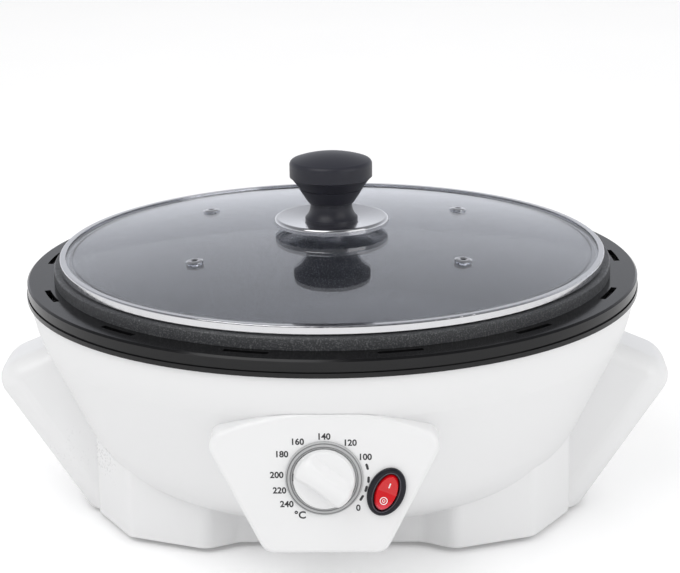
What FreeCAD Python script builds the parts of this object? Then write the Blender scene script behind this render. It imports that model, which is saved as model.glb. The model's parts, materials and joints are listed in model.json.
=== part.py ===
"""Home coffee bean roaster with a glass lid, a stirrer and a front control panel.

Millimetres. The origin is on the bowl's axis at the level of the surface that the
feet stand on, +Z is up, the control panel faces -Y and +X is on its right.
"""
import FreeCAD, Part
import math
import os

from FreeCAD import Placement, Rotation, Vector
import Sketcher

DOC = FreeCAD.newDocument("coffee_roaster")
SHEET = DOC.addObject("Spreadsheet::Sheet", "Sizes")
UP = Vector(0, 0, 1)


class Dim:
    """A size: its number, and the text that gives it from the sheet."""

    def __init__(self, value, text):
        self.value = value
        self.text = text

    def __add__(self, other):
        other = dim(other)
        return Dim(self.value + other.value, f"({self.text} + {other.text})")

    def __radd__(self, other):
        return dim(other) + self

    def __sub__(self, other):
        other = dim(other)
        return Dim(self.value - other.value, f"({self.text} - {other.text})")

    def __rsub__(self, other):
        return dim(other) - self

    def __mul__(self, other):
        other = dim(other)
        return Dim(self.value * other.value, f"({self.text} * {other.text})")

    def __rmul__(self, other):
        return dim(other) * self

    def __truediv__(self, other):
        other = dim(other)
        return Dim(self.value / other.value, f"({self.text} / {other.text})")

    def __neg__(self):
        return Dim(-self.value, f"(0 - {self.text})")

    def root(self):
        return Dim(math.sqrt(self.value), f"sqrt({self.text})")


def dim(number):
    """The number as a Dim, if it isn't one."""
    return number if isinstance(number, Dim) else Dim(float(number), repr(float(number)))


def fill_sheet(sizes):
    """Writes each size into the sheet and gives the sizes back by name."""
    found = {}
    for row, (name, number, note) in enumerate(sizes, start=1):
        SHEET.set(f"A{row}", name)
        SHEET.set(f"B{row}", str(number))
        SHEET.set(f"C{row}", note)
        SHEET.setAlias(f"B{row}", name)
        found[name] = Dim(float(number), f"Sizes.{name}")
    DOC.recompute()
    return found


SIZES = [
    ("ring_radius", 165.0, "outer radius of the black rim ring"),
    ("ring_top", 131.0, "height of the ring's top face"),
    ("ring_drop", 9.0, "height of the ring's outer edge"),
    ("ring_wall", 2.6, "wall of the ring"),
    ("ring_width", 18.2, "width of the ring's top"),
    ("slot_width", 3.2, "width of an air slot in the ring"),
    ("slot_length", 22.6, "length of an air slot in the ring"),
    ("slot_inset", 9.8, "distance of the air slots from the ring's outer edge"),
    ("slot_count", 13, "number of air slots in the ring"),
    ("wall", 2.6, "wall of the white shell"),
    ("shell_bottom", 3.0, "height of the shell's lower edge"),
    ("shoulder_inset", 1.6, "how far the shell under the ring lies inside the ring's edge"),
    ("waist_inset", 30.0, "how far the start of the round bottom lies inside the ring's edge"),
    ("waist_height", 50.0, "height at which the round bottom starts"),
    ("brow_inset", 7.0, "how far the shell lies inside the ring's edge where it turns upright"),
    ("brow_drop", 32.0, "how far below the ring's top the shell turns upright"),
    ("brow_curve", 70.0, "curve of the shell's upper part"),
    ("belly_curve", 50.0, "curve of the shell's round bottom"),
    ("base_top", 50.0, "height up to which the lobed base reaches inside the bowl"),
    ("base_inset", 37.0, "how far the base's side lies inside the ring's edge"),
    ("base_side", 37.5, "half length of the base's side"),
    ("corner_across", 107.0, "corner of the base, across"),
    ("corner_along", 73.5, "corner of the base, along"),
    ("lobe_across", 65.0, "tip of a base lobe, across"),
    ("lobe_along", 90.5, "tip of a base lobe, along"),
    ("notch_across", 48.0, "end of the set-back middle of the base, across"),
    ("notch_along", 81.0, "set-back middle of the base, along"),
    ("base_round", 9.0, "rounding of the base's upright corners"),
    ("ear_foot_inset", 30.5, "how far an ear lies inside the ring's edge at floor level"),
    ("ear_lean", 0.722, "how far an ear leans out for each unit of height"),
    ("ear_foot_half", 38.0, "half width of an ear at floor level"),
    ("ear_narrowing", 0.165, "how much narrower an ear's half gets for each unit of height"),
    ("ear_corner", 20.0, "rounding of an ear's upright corners"),
    ("ear_root_height", 90.0, "height of an ear's top where it meets the bowl"),
    ("ear_slope", 0.44, "fall of an ear's top for each unit outwards"),
    ("ear_round", 12.0, "rounding of an ear's top edge"),
    ("panel_inset", 5.0, "how far the control panel's face lies inside the ring's edge"),
    ("panel_thick", 3.6, "thickness of the control panel"),
    ("panel_top", 102.7, "height of the control panel's top at its middle"),
    ("panel_curve", 131.0, "curve of the control panel's top edge"),
    ("panel_shoulder", 58.5, "half width of the panel at its upper corners"),
    ("panel_shoulder_height", 89.0, "height of the panel's upper corners"),
    ("panel_foot", 29.6, "half width of the panel at its lower edge"),
    ("panel_bottom", 30.0, "height of the panel's lower edge"),
    ("panel_corner", 8.0, "rounding of the panel's corners"),
    ("panel_round", 2.4, "rounding of the panel's front edge"),
    ("panel_root", 70.0, "distance from the axis at which the panel housing ends"),
    ("dial_height", 69.6, "height of the dial's centre"),
    ("dial_ring_radius", 18.9, "outer radius of the grey dial ring"),
    ("dial_ring_bore", 16.3, "inner radius of the grey dial ring"),
    ("dial_ring_thick", 1.8, "thickness of the dial ring"),
    ("knob_radius", 15.2, "radius of the temperature knob"),
    ("knob_skirt", 4.2, "height of the knob's round skirt"),
    ("knob_reach", 12.0, "height of the knob's grip"),
    ("grip_width", 12.0, "width of the knob's grip"),
    ("spindle_radius", 3.0, "radius of the thermostat's spindle"),
    ("running_gap", 0.05, "radial clearance of a shaft in its bush"),
    ("seat_gap", 0.3, "clearance between a curved piece and its seat"),
    ("fit_gap", 0.4, "clearance of a piece set into another"),
    ("thermostat_width", 32.0, "width of the thermostat's case"),
    ("thermostat_depth", 17.0, "depth of the thermostat's case"),
    ("switch_across", 30.0, "distance of the switch from the dial, across"),
    ("switch_down", 7.0, "distance of the switch below the dial"),
    ("switch_tilt", 22.0, "lean of the switch's long axis"),
    ("bezel_long", 12.7, "half length of the switch bezel"),
    ("bezel_short", 8.95, "half width of the switch bezel"),
    ("bezel_thick", 2.0, "thickness of the switch bezel"),
    ("rocker_long", 9.8, "half length of the rocker"),
    ("rocker_short", 5.3, "half width of the rocker"),
    ("rocker_swing", 7.0, "tilt of the rocker to each side"),
    ("switch_wall", 1.4, "wall of the switch housing"),
    ("switch_depth", 14.0, "depth of the switch housing behind the panel"),
    ("lip_inset", 14.5, "how far the roasting bowl's lip lies inside the ring's edge"),
    ("lip_rise", 6.4, "rise of the roasting bowl's lip above the ring"),
    ("lip_width", 8.0, "width of the roasting bowl's lip"),
    ("bowl_floor_radius", 112.0, "inner radius of the roasting bowl at its floor"),
    ("bowl_floor", 66.0, "height of the roasting bowl's floor"),
    ("bowl_wall", 3.0, "wall of the roasting bowl"),
    ("bowl_corner", 28.0, "rounding between the bowl's floor and wall"),
    ("bush_radius", 7.0, "outer radius of the shaft bush"),
    ("shaft_radius", 4.0, "radius of the stirrer shaft"),
    ("hub_radius", 15.0, "radius of the stirrer hub"),
    ("hub_height", 26.0, "height of the stirrer hub"),
    ("stir_gap", 1.0, "clearance of the stirrer above the bowl's floor"),
    ("arm_radius", 2.5, "radius of a stirrer arm"),
    ("arm_reach", 92.0, "reach of a stirrer arm"),
    ("arm_height", 81.0, "height of the stirrer arms"),
    ("blade_length", 46.0, "length of a stirring blade"),
    ("blade_height", 20.0, "height of a stirring blade"),
    ("blade_thick", 2.0, "thickness of a stirring blade"),
    ("blade_pitch", 24.0, "turn of a blade against its arm"),
    ("heater_circle", 82.0, "radius of the heating element's ring"),
    ("heater_radius", 3.3, "radius of the heating element's tube"),
    ("shield_radius", 108.0, "radius of the heat shield"),
    ("shield_height", 50.0, "height of the heat shield"),
    ("shield_thick", 0.8, "thickness of the heat shield"),
    ("post_circle", 52.0, "radius on which the shield posts stand"),
    ("post_radius", 4.5, "radius of a shield post"),
    ("plate_bottom", 4.2, "height of the base plate's underside"),
    ("plate_thick", 2.0, "thickness of the base plate"),
    ("boss_across", 100.5, "base screw boss, across"),
    ("boss_along", 69.5, "base screw boss, along"),
    ("boss_radius", 5.0, "radius of a base screw boss"),
    ("boss_height", 26.0, "height of a base screw boss"),
    ("screw_radius", 1.5, "radius of a screw's shank"),
    ("head_radius", 3.2, "radius of a screw's head"),
    ("head_height", 2.2, "height of a screw's head"),
    ("foot_radius", 8.0, "radius of a rubber foot"),
    ("foot_across", 78.0, "rubber foot, across"),
    ("foot_along", 62.0, "rubber foot, along"),
    ("lug_inset", 9.0, "how far the ring's screw bosses stand inside its edge"),
    ("lug_radius", 3.6, "radius of a ring screw boss"),
    ("lug_height", 12.0, "length of a ring screw boss"),
    ("lug_thick", 4.0, "thickness of a shell lug"),
    ("motor_radius", 29.0, "radius of the motor's can"),
    ("motor_height", 22.0, "height of the motor's can"),
    ("gear_case_radius", 25.0, "radius of the gear case"),
    ("gear_case_height", 9.0, "height of the gear case"),
    ("flange_thick", 1.5, "thickness of the motor's flange"),
    ("flange_reach", 38.0, "half length of the motor's flange"),
    ("gland_height", 12.6, "height of the cord gland"),
    ("gland_radius", 4.6, "radius of the cord gland's barrel"),
    ("gland_bore", 3.3, "radius of the cord gland's bore"),
    ("rim_inset", 3.2, "how far the lid's steel rim lies inside the roasting bowl's lip"),
    ("rim_sheet", 0.5, "sheet thickness of the steel rim"),
    ("rim_grip", 3.2, "how far the steel rim reaches over the glass"),
    ("glass_thick", 3.5, "thickness of the glass"),
    ("glass_border", 6.8, "flat border between the steel rim's edge and the rise of the glass"),
    ("dome_rise", 11.0, "rise of the glass"),
    ("vent_circle", 88.0, "radius on which the steam vents lie"),
    ("vent_angle", 37.5, "angle of the vents from the side"),
    ("vent_radius", 4.6, "radius of a steam vent's flange"),
    ("vent_bore", 1.4, "radius of a steam vent's hole"),
    ("disc_radius", 30.8, "radius of the chrome disc"),
    ("disc_rise", 5.05, "height of the chrome disc's top over the glass"),
    ("disc_thick", 0.8, "sheet thickness of the chrome disc"),
    ("disc_skirt", 3.4, "height of the chrome disc's turned-down edge"),
    ("disc_collar", 8.0, "radius of the collar on which the chrome disc stands"),
    ("handle_foot", 14.2, "radius of the lid knob's foot"),
    ("handle_neck", 11.3, "radius of the lid knob's neck"),
    ("handle_cap", 22.3, "radius of the lid knob's cap"),
    ("handle_height", 36.4, "height of the lid knob"),
    ("lid_screw_radius", 2.5, "radius of the lid screw"),
    ("lid_travel", 140.0, "how far the lid is lifted clear"),
]
S = fill_sheet(SIZES)
S["ring_inner"] = S["ring_radius"] - S["ring_width"]
S["slot_circle"] = S["ring_radius"] - S["slot_inset"]
S["shoulder"] = S["ring_radius"] - S["shoulder_inset"]
S["waist_radius"] = S["ring_radius"] - S["waist_inset"]
S["brow_radius"] = S["ring_radius"] - S["brow_inset"]
S["brow_height"] = S["ring_top"] - S["brow_drop"]
S["base_half_width"] = S["ring_radius"] - S["base_inset"]
S["ear_foot"] = S["ring_radius"] - S["ear_foot_inset"]
S["ear_root"] = S["brow_radius"]
S["panel_face"] = S["ring_radius"] - S["panel_inset"]
S["lip_radius"] = S["ring_radius"] - S["lip_inset"]
S["lip_top"] = S["ring_top"] + S["lip_rise"]
S["bowl_mouth"] = S["lip_radius"] - S["lip_width"]
S["lug_circle"] = S["ring_radius"] - S["lug_inset"]
S["rim_radius"] = S["lip_radius"] - S["rim_inset"]
S["dome_radius"] = S["rim_radius"] - S["glass_border"]
SUB_PARTS = []


def value(name):
    return S[name].value


def z_axis_turn(degrees):
    return Rotation(UP, degrees)


def new_body(name):
    body = DOC.addObject("PartDesign::Body", name)
    body.Label = name
    body.AllowCompound = True
    return body


def origin_plane(body, role):
    return next(o for o in body.Origin.OriginFeatures if o.Role == role)


def outline(body, role, points, arcs=None, offset=None):
    """A closed sketch through the points; arcs maps an edge to (radius, side).

    Side +1 bulges to the right of the way from a point to the next, -1 to the left.
    """
    arcs = arcs or {}
    sketch = body.newObject("Sketcher::SketchObject", "Outline")
    sketch.AttachmentSupport = [(origin_plane(body, role), "")]
    sketch.MapMode = "FlatFace"
    if offset is not None:
        sketch.setExpression("AttachmentOffset.Base.z", dim(offset).text)
    corners = [(dim(a), dim(b)) for a, b in points]
    places = [Vector(a.value, b.value, 0) for a, b in corners]
    ends = []
    for i, start in enumerate(places):
        stop = places[(i + 1) % len(places)]
        if i in arcs:
            radius, side = dim(arcs[i][0]).value, arcs[i][1]
            chord = stop - start
            left = Vector(-chord.y, chord.x, 0).normalize()
            lift = math.sqrt(radius ** 2 - (chord.Length / 2) ** 2)
            centre = (start + stop) / 2 + left * lift * side
            first, last = (start, stop) if side > 0 else (stop, start)
            angles = [math.atan2(p.y - centre.y, p.x - centre.x) for p in (first, last)]
            circle = Part.Circle(centre, UP, radius)
            sketch.addGeometry(Part.ArcOfCircle(circle, *angles), False)
            ends.append((1, 2) if side > 0 else (2, 1))
        else:
            sketch.addGeometry(Part.LineSegment(start, stop), False)
            ends.append((1, 2))
    rules, texts = [], []
    for i, corner in enumerate(corners):
        before = (i - 1) % len(corners)
        rules.append(Sketcher.Constraint("Coincident", before, ends[before][1], i, ends[i][0]))
        texts.append(None)
        for kind, number in zip(("DistanceX", "DistanceY"), corner):
            rules.append(Sketcher.Constraint(kind, -1, 1, i, ends[i][0], number.value))
            texts.append(number.text)
        if i in arcs:
            radius = dim(arcs[i][0])
            rules.append(Sketcher.Constraint("Radius", i, radius.value))
            texts.append(radius.text)
    sketch.addConstraint(rules)
    for i, text in enumerate(texts):
        if text is not None:
            sketch.setExpression(f"Constraints[{i}]", text)
    return sketch


def circle_sketch(body, role, radius, across=0, along=0, offset=None):
    """A sketch that holds one circle."""
    sketch = body.newObject("Sketcher::SketchObject", "Circle")
    sketch.AttachmentSupport = [(origin_plane(body, role), "")]
    sketch.MapMode = "FlatFace"
    if offset is not None:
        sketch.setExpression("AttachmentOffset.Base.z", dim(offset).text)
    radius, across, along = dim(radius), dim(across), dim(along)
    centre = Vector(across.value, along.value, 0)
    sketch.addGeometry(Part.Circle(centre, UP, radius.value), False)
    sketch.addConstraint([
        Sketcher.Constraint("Radius", 0, radius.value),
        Sketcher.Constraint("DistanceX", -1, 1, 0, 3, across.value),
        Sketcher.Constraint("DistanceY", -1, 1, 0, 3, along.value),
    ])
    for i, number in enumerate((radius, across, along)):
        sketch.setExpression(f"Constraints[{i}]", number.text)
    return sketch


def revolve(body, sketch, cut=False):
    """Turns the sketch round the upright axis."""
    kind = "PartDesign::Groove" if cut else "PartDesign::Revolution"
    feature = body.newObject(kind, "Turned")
    feature.Profile = sketch
    feature.ReferenceAxis = (sketch, ["V_Axis"])
    feature.Angle = 360
    DOC.recompute()
    return feature


def pad(body, sketch, length, cut=False, reverse=False, both=False):
    """Draws the sketch out, or cuts it away."""
    kind = "PartDesign::Pocket" if cut else "PartDesign::Pad"
    feature = body.newObject(kind, "Drawn")
    feature.Profile = sketch
    feature.setExpression("Length", dim(length).text)
    feature.Reversed = reverse
    if both:
        feature.Midplane = True
    DOC.recompute()
    return feature


def ring_pattern(body, feature, count):
    """Repeats a feature round the upright axis."""
    pattern = body.newObject("PartDesign::PolarPattern", "Around")
    pattern.Originals = [feature]
    pattern.Axis = (origin_plane(body, "Z_Axis"), [""])
    pattern.Angle = 360
    pattern.setExpression("Occurrences", dim(count).text)
    body.Tip = pattern
    DOC.recompute()
    return pattern


def round_edges(body, test, radius, name="Rounded"):
    """Rounds the edges of the body that the test picks."""
    DOC.recompute()
    base = body.Tip
    picked = [f"Edge{i}" for i, edge in enumerate(base.Shape.Edges, start=1) if test(edge)]
    feature = body.newObject("PartDesign::Fillet", name)
    feature.Base = (base, picked)
    feature.setExpression("Radius", dim(radius).text)
    body.Tip = feature
    DOC.recompute()
    return feature


def turned(name, points, arcs=None, place=None):
    """A sub-part turned from one outline of radii and heights."""
    body = new_body(name)
    revolve(body, outline(body, "XZ_Plane", points, arcs))
    if place is not None:
        body.Placement = place
    return keep(body, name)


def keep(thing, name, place=None):
    """Names a finished sub-part and puts it on the list of pieces."""
    thing.Label = name
    if place is not None:
        thing.Placement = place
    SUB_PARTS.append(thing)
    return thing


def boolean(kind, base, tool, name="Joined"):
    """A Part boolean of two objects."""
    thing = DOC.addObject(f"Part::{kind}", name)
    thing.Base = base
    thing.Tool = tool
    DOC.recompute()
    return thing


def fuse(things, name="Joined"):
    thing = DOC.addObject("Part::MultiFuse", name)
    thing.Shapes = things
    DOC.recompute()
    return thing


def cylinder(radius, height, at=None, turn=None):
    """A Part cylinder that starts at the point and runs along the turned Z axis."""
    thing = DOC.addObject("Part::Cylinder", "Cylinder")
    thing.setExpression("Radius", dim(radius).text)
    thing.setExpression("Height", dim(height).text)
    place(thing, at, turn)
    return thing


def box(length, width, height, at=None, turn=None):
    """A Part box with its bottom face centred on the point."""
    thing = DOC.addObject("Part::Box", "Box")
    sizes = [dim(length), dim(width), dim(height)]
    for side, number in zip(("Length", "Width", "Height"), sizes):
        thing.setExpression(side, number.text)
    turn = turn or Rotation()
    half = turn.multVec(Vector(sizes[0].value / 2, sizes[1].value / 2, 0))
    spot = Vector(*[dim(c).value for c in (at or (0, 0, 0))])
    thing.Placement = Placement(spot - half, turn)
    return thing


def place(thing, at=None, turn=None):
    spot = Vector(*[dim(c).value for c in (at or (0, 0, 0))])
    thing.Placement = Placement(spot, turn or Rotation())
    return thing


def plain(name, shape, at=None):
    """A sub-part whose shape is set whole."""
    thing = DOC.addObject("Part::Feature", name)
    thing.Shape = shape
    return keep(thing, name, at or Placement())


def upright(edge, least=4.0):
    """Whether the edge is a straight one that runs up."""
    if edge.Curve.TypeId != "Part::GeomLine" or edge.Length < least:
        return False
    return abs(edge.tangentAt(edge.FirstParameter).z) > 0.97


def bowl_profile(inset, floor):
    """Radii and heights of the bowl's skin, moved in by the inset."""
    shoulder = S["shoulder"] - inset
    top = S["ring_top"] - S["ring_drop"] - 0.2
    belly = S["belly_curve"] - inset
    lean = math.atan2(value("brow_radius") - value("waist_radius"),
                      value("brow_height") - value("waist_height"))
    sine, cosine = round(math.sin(lean), 6), round(math.cos(lean), 6)
    waist_r = S["waist_radius"] - inset * cosine
    waist_z = S["waist_height"] + inset * sine
    belly_r = S["waist_radius"] - S["belly_curve"] * cosine
    belly_z = S["waist_height"] + S["belly_curve"] * sine - belly
    brow_r = S["brow_radius"] - inset * cosine
    brow_z = S["brow_height"] + inset * sine
    points = [(0, belly_z), (belly_r, belly_z), (waist_r, waist_z), (brow_r, brow_z), (shoulder, top)]
    if floor:
        points = points + [(shoulder, S["ring_top"] + 20), (0, S["ring_top"] + 20)]
    else:
        points = points + [(0, top)]
    return points, {1: (belly, 1), 3: (S["brow_curve"] - inset, 1)}


def base_points(inset):
    """Plan of the lobed base, moved in by the inset."""
    quarter = [
        (S["base_half_width"] - inset, S["base_side"] - inset * 0.3),
        (S["corner_across"] - inset * 0.8, S["corner_along"] - inset * 0.8),
        (S["lobe_across"] - inset * 0.1, S["lobe_along"] - inset),
        (S["notch_across"] - inset * 0.3, S["notch_along"] - inset),
    ]
    right_back = [(a, b) for a, b in quarter]
    left_back = [(-a, b) for a, b in reversed(quarter)]
    left_front = [(-a, -b) for a, b in quarter]
    right_front = [(a, -b) for a, b in reversed(quarter)]
    return right_back + left_back + left_front + right_front


def ear_points(inset, height):
    """Plan of the bar that makes both ears, at a height."""
    reach = S["ear_foot"] + S["ear_lean"] * height - inset * 1.25
    half = S["ear_foot_half"] - S["ear_narrowing"] * height - inset
    cut = S["ear_corner"] - inset
    return [(reach, -half + cut), (reach, half - cut), (reach - cut, half), (cut - reach, half),
            (-reach, half - cut), (-reach, cut - half), (cut - reach, -half), (reach - cut, -half)]


def ear_arcs(inset):
    corner = S["ear_corner"] - inset
    return {1: (corner, 1), 3: (corner, 1), 5: (corner, 1), 7: (corner, 1)}


def shell_form(name, inset):
    """The filled form of the white shell, or of the space inside it."""
    low = S["shell_bottom"] if inset.value == 0 else S["shell_bottom"] - 5
    bowl = new_body(name + "Bowl")
    points, arcs = bowl_profile(inset, inset.value > 0)
    revolve(bowl, outline(bowl, "XZ_Plane", points, arcs))

    base = new_body(name + "Base")
    pad(base, outline(base, "XY_Plane", base_points(inset), offset=low), S["base_top"] - low)
    round_edges(base, upright, S["base_round"])

    ears = new_body(name + "Ears")
    lower = outline(ears, "XY_Plane", ear_points(inset, low), ear_arcs(inset), offset=low)
    high = S["ear_root_height"] + 12
    upper = outline(ears, "XY_Plane", ear_points(inset, high), ear_arcs(inset), offset=high)
    loft = ears.newObject("PartDesign::AdditiveLoft", "Lofted")
    loft.Profile = lower
    loft.Sections = [upper]
    loft.Ruled = True
    DOC.recompute()
    far = S["ear_foot"] + S["ear_lean"] * high + 20
    drop = inset * 1.1
    for side in (1, -1):
        roof = outline(ears, "XZ_Plane", [
            (side * (S["ear_root"] - 60), S["ear_root_height"] + 60 * S["ear_slope"] - drop),
            (side * far, S["ear_root_height"] - (far - S["ear_root"]) * S["ear_slope"] - drop),
            (side * far, high + 50),
            (side * (S["ear_root"] - 60), high + 50),
        ])
        cut = pad(ears, roof, 120, cut=True, both=True)
        ears.Tip = cut
    crown = high.value - drop.value

    def top_edge(edge):
        if abs(edge.CenterOfMass.x) < value("ear_root") - 30:
            return False
        middle = edge.valueAt((edge.FirstParameter + edge.LastParameter) / 2)
        rise = value("ear_root_height") - (abs(middle.x) - value("ear_root")) * value("ear_slope")
        return abs(middle.z - (rise - drop.value)) < 0.05 and middle.z < crown - 1

    round_edges(ears, top_edge, S["ear_round"] - inset)
    return bowl, base, ears


def panel_points(inset):
    """Front view of the control panel, moved in by the inset."""
    wide = S["panel_shoulder"] - inset * 1.1
    high = S["panel_shoulder_height"] - inset * 0.7
    foot = S["panel_foot"] - inset * 1.1
    low = S["panel_bottom"] + inset
    return [(-wide, high), (-foot, low), (foot, low), (wide, high), (0, S["panel_top"] - inset)]


def panel_arcs(inset):
    return {3: (S["panel_curve"] - inset, 1), 4: (S["panel_curve"] - inset, 1)}


def panel_block(name, inset, front, depth, corner):
    """A block with the control panel's outline, from the front plane backwards."""
    block = new_body(name)
    sketch = outline(block, "XZ_Plane", panel_points(inset), panel_arcs(inset), offset=front)
    pad(block, sketch, depth, reverse=True)

    def along(edge):
        if edge.Curve.TypeId != "Part::GeomLine":
            return False
        middle = edge.CenterOfMass
        return abs(edge.tangentAt(edge.FirstParameter).y) > 0.97 and abs(middle.x) > 5

    round_edges(block, along, corner)
    return block


def make_outer_shell():
    """White shell: bowl, lobed base, two ears and the housing behind the panel."""
    back = S["panel_face"] - S["panel_thick"]
    forms = list(shell_form("Form", dim(0)))
    forms.append(panel_block("Housing", dim(0), back, back - S["panel_root"], S["panel_corner"]))
    spaces = list(shell_form("Space", S["wall"]))
    spaces.append(panel_block("HousingSpace", S["wall"], back + 5, back + 5 - S["panel_root"] - 2,
                              S["panel_corner"] - S["wall"]))
    skin = boolean("Cut", fuse(forms, "ShellForm"), fuse(spaces, "ShellSpace"), "ShellSkin")
    additions = [skin]
    for across, along in boss_spots():
        low = S["plate_bottom"] + S["plate_thick"] + 0.2
        additions.append(cylinder(S["boss_radius"], S["boss_height"], (across, along, low)))
    lugs = []
    for angle in lug_angles():
        turn = z_axis_turn(angle)
        spot = turn.multVec(Vector(value("lug_circle") - 0.5, 0, 0))
        lugs.append(box(10, 11, S["lug_thick"], (spot.x, spot.y, lug_seat() - S["lug_thick"]), turn))
    top = S["ring_top"] - S["ring_wall"] - 0.3
    rail = new_body("Rail")
    inner = S["shoulder"] - S["wall"]
    edge = S["ring_top"] - S["ring_drop"] - 0.2
    revolve(rail, outline(rail, "XZ_Plane", [
        (inner - 1.2, edge - 3), (inner + 0.6, edge - 3), (inner + 0.6, edge),
        (inner + 0.6, top), (inner - 1.2, top)]))
    whole = fuse(additions + lugs + [rail], "ShellWhole")
    cuts = []
    for across, along in boss_spots():
        cuts.append(cylinder(S["screw_radius"] - 0.2, 14, (across, along, S["plate_bottom"])))
    for angle in lug_angles():
        spot = z_axis_turn(angle).multVec(Vector(value("lug_circle"), 0, 0))
        cuts.append(cylinder(S["screw_radius"] + 0.2, 20, (spot.x, spot.y, lug_seat() - 10)))
    cuts.append(cylinder(S["gland_radius"] + S["fit_gap"] / 2, 20,
                         (0, S["notch_along"] - 14, S["gland_height"]), Rotation(Vector(1, 0, 0), -90)))
    return keep(boolean("Cut", whole, fuse(cuts, "ShellHoles"), "Shell"), "outer_shell")


def boss_spots():
    return [(sx * S["boss_across"], sy * S["boss_along"]) for sx in (1, -1) for sy in (1, -1)]


def slot_pitch():
    return 360.0 / value("slot_count")


def lug_angles():
    """Directions of the ring's screw bosses, each midway between two slots."""
    half = value("slot_count") / 2
    steps = (0, round(half / 2), -round(half / 2), math.floor(half), -math.floor(half))
    return [-90 + step * slot_pitch() for step in steps]


def lug_seat():
    """Height at which the ring's bosses meet the shell's lugs."""
    return S["ring_top"] - S["ring_wall"] - S["lug_height"]


def make_rim_ring():
    """Black ring round the top, with air slots, a groove and five screw bosses."""
    body = new_body("RingBody")
    outer, inner, top = S["ring_radius"], S["ring_inner"], S["ring_top"]
    low = top - S["ring_drop"]
    wall = S["ring_wall"]
    groove = low + 2.4
    revolve(body, outline(body, "XZ_Plane", [
        (inner, top - wall), (outer - wall, top - wall), (outer - wall, low), (outer + 0.4, low),
        (outer + 0.4, groove), (outer - 0.6, groove + 0.1), (outer - 0.6, groove + 0.9),
        (outer, groove + 1.0), (outer, top - 1.0), (outer - 1.0, top), (inner, top)]))
    half = S["slot_width"] / 2
    slot = outline(body, "XY_Plane", [
        (-S["slot_length"] / 2, -S["slot_circle"] - half), (S["slot_length"] / 2, -S["slot_circle"] - half),
        (S["slot_length"] / 2, half - S["slot_circle"]), (-S["slot_length"] / 2, half - S["slot_circle"])],
        {0: (S["slot_circle"] + half, 1), 2: (S["slot_circle"] - half, -1)}, offset=top + 1)
    cut = pad(body, slot, wall + 2, cut=True)
    turn = ring_pattern(body, cut, S["slot_count"])
    body.Placement = Placement(Vector(), z_axis_turn(slot_pitch() / 2))
    bosses = [body]
    holes = []
    for angle in lug_angles():
        spot = z_axis_turn(angle).multVec(Vector(value("lug_circle"), 0, 0))
        low_end = lug_seat()
        bosses.append(cylinder(S["lug_radius"], S["lug_height"] + 0.5, (spot.x, spot.y, low_end)))
        holes.append(cylinder(S["screw_radius"] - 0.2, S["lug_height"] - 2, (spot.x, spot.y, low_end - 1)))
    ring = boolean("Cut", fuse(bosses, "RingSolid"), fuse(holes, "RingHoles"), "Ring")
    return keep(ring, "rim_ring"), turn


def make_ring_screws():
    shapes = []
    for angle in lug_angles():
        spot = z_axis_turn(angle).multVec(Vector(value("lug_circle"), 0, 0))
        spot.z = lug_seat().value - value("lug_thick")
        shapes.append(screw(spot, 11.0))
    return plain("ring_screws", Part.makeCompound(shapes))


def screw(seat, length):
    """A screw that points up, with its head under the seat."""
    head = Part.makeCylinder(value("head_radius"), value("head_height"),
                             seat - Vector(0, 0, value("head_height")))
    head = head.makeFillet(0.5, [head.Edges[2]])
    shank = Part.makeCylinder(value("screw_radius") - 0.2, length, seat)
    slot = Part.makeBox(0.8, 3.6, 1.0, seat - Vector(0.4, 1.8, value("head_height")))
    return head.fuse(shank).cut(slot).cut(slot.rotated(seat, UP, 90)).removeSplitter()


def make_control_panel():
    """Front plate with its dial hole and switch opening, and a lip set into the housing."""
    back = S["panel_face"] - S["panel_thick"]
    plate = panel_block("Plate", dim(0), S["panel_face"], S["panel_thick"], S["panel_corner"])

    def front_edge(edge):
        return abs(edge.CenterOfMass.y + value("panel_face")) < 0.01

    round_edges(plate, front_edge, S["panel_round"])
    gap = S["wall"] + S["fit_gap"]
    lip = panel_block("Lip", gap, back + 0.5, dim(6.5), S["panel_corner"] - gap)
    hollow = panel_block("LipHollow", gap + 1.8, back, dim(8), S["panel_corner"] - gap - 1.8)
    body = fuse([plate, boolean("Cut", lip, hollow)], "PanelSolid")
    spin = Rotation(Vector(1, 0, 0), 90)
    dial = cylinder(S["spindle_radius"] + 1.5, 20, (0, -back + 8, S["dial_height"]), spin)
    opening = oval(S["bezel_long"] - 1.6, S["bezel_short"] - 1.6, 12, dim(6) - back)
    bowl = new_body("BowlClearance")
    revolve(bowl, outline(bowl, "XZ_Plane", *bowl_profile(-S["seat_gap"], False)))
    holes = fuse([dial, opening, bowl], "PanelHoles")
    return keep(boolean("Cut", body, holes, "Panel"), "control_panel")


def switch_frame():
    """Placement whose Z runs out of the panel and whose Y is the switch's long axis."""
    out = Rotation(Vector(1, 0, 0), 90)
    lean = Rotation(UP, -value("switch_tilt"))
    spot = Vector(value("switch_across"), -value("panel_face"), value("dial_height") - value("switch_down"))
    return Placement(spot, out * lean)


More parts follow.
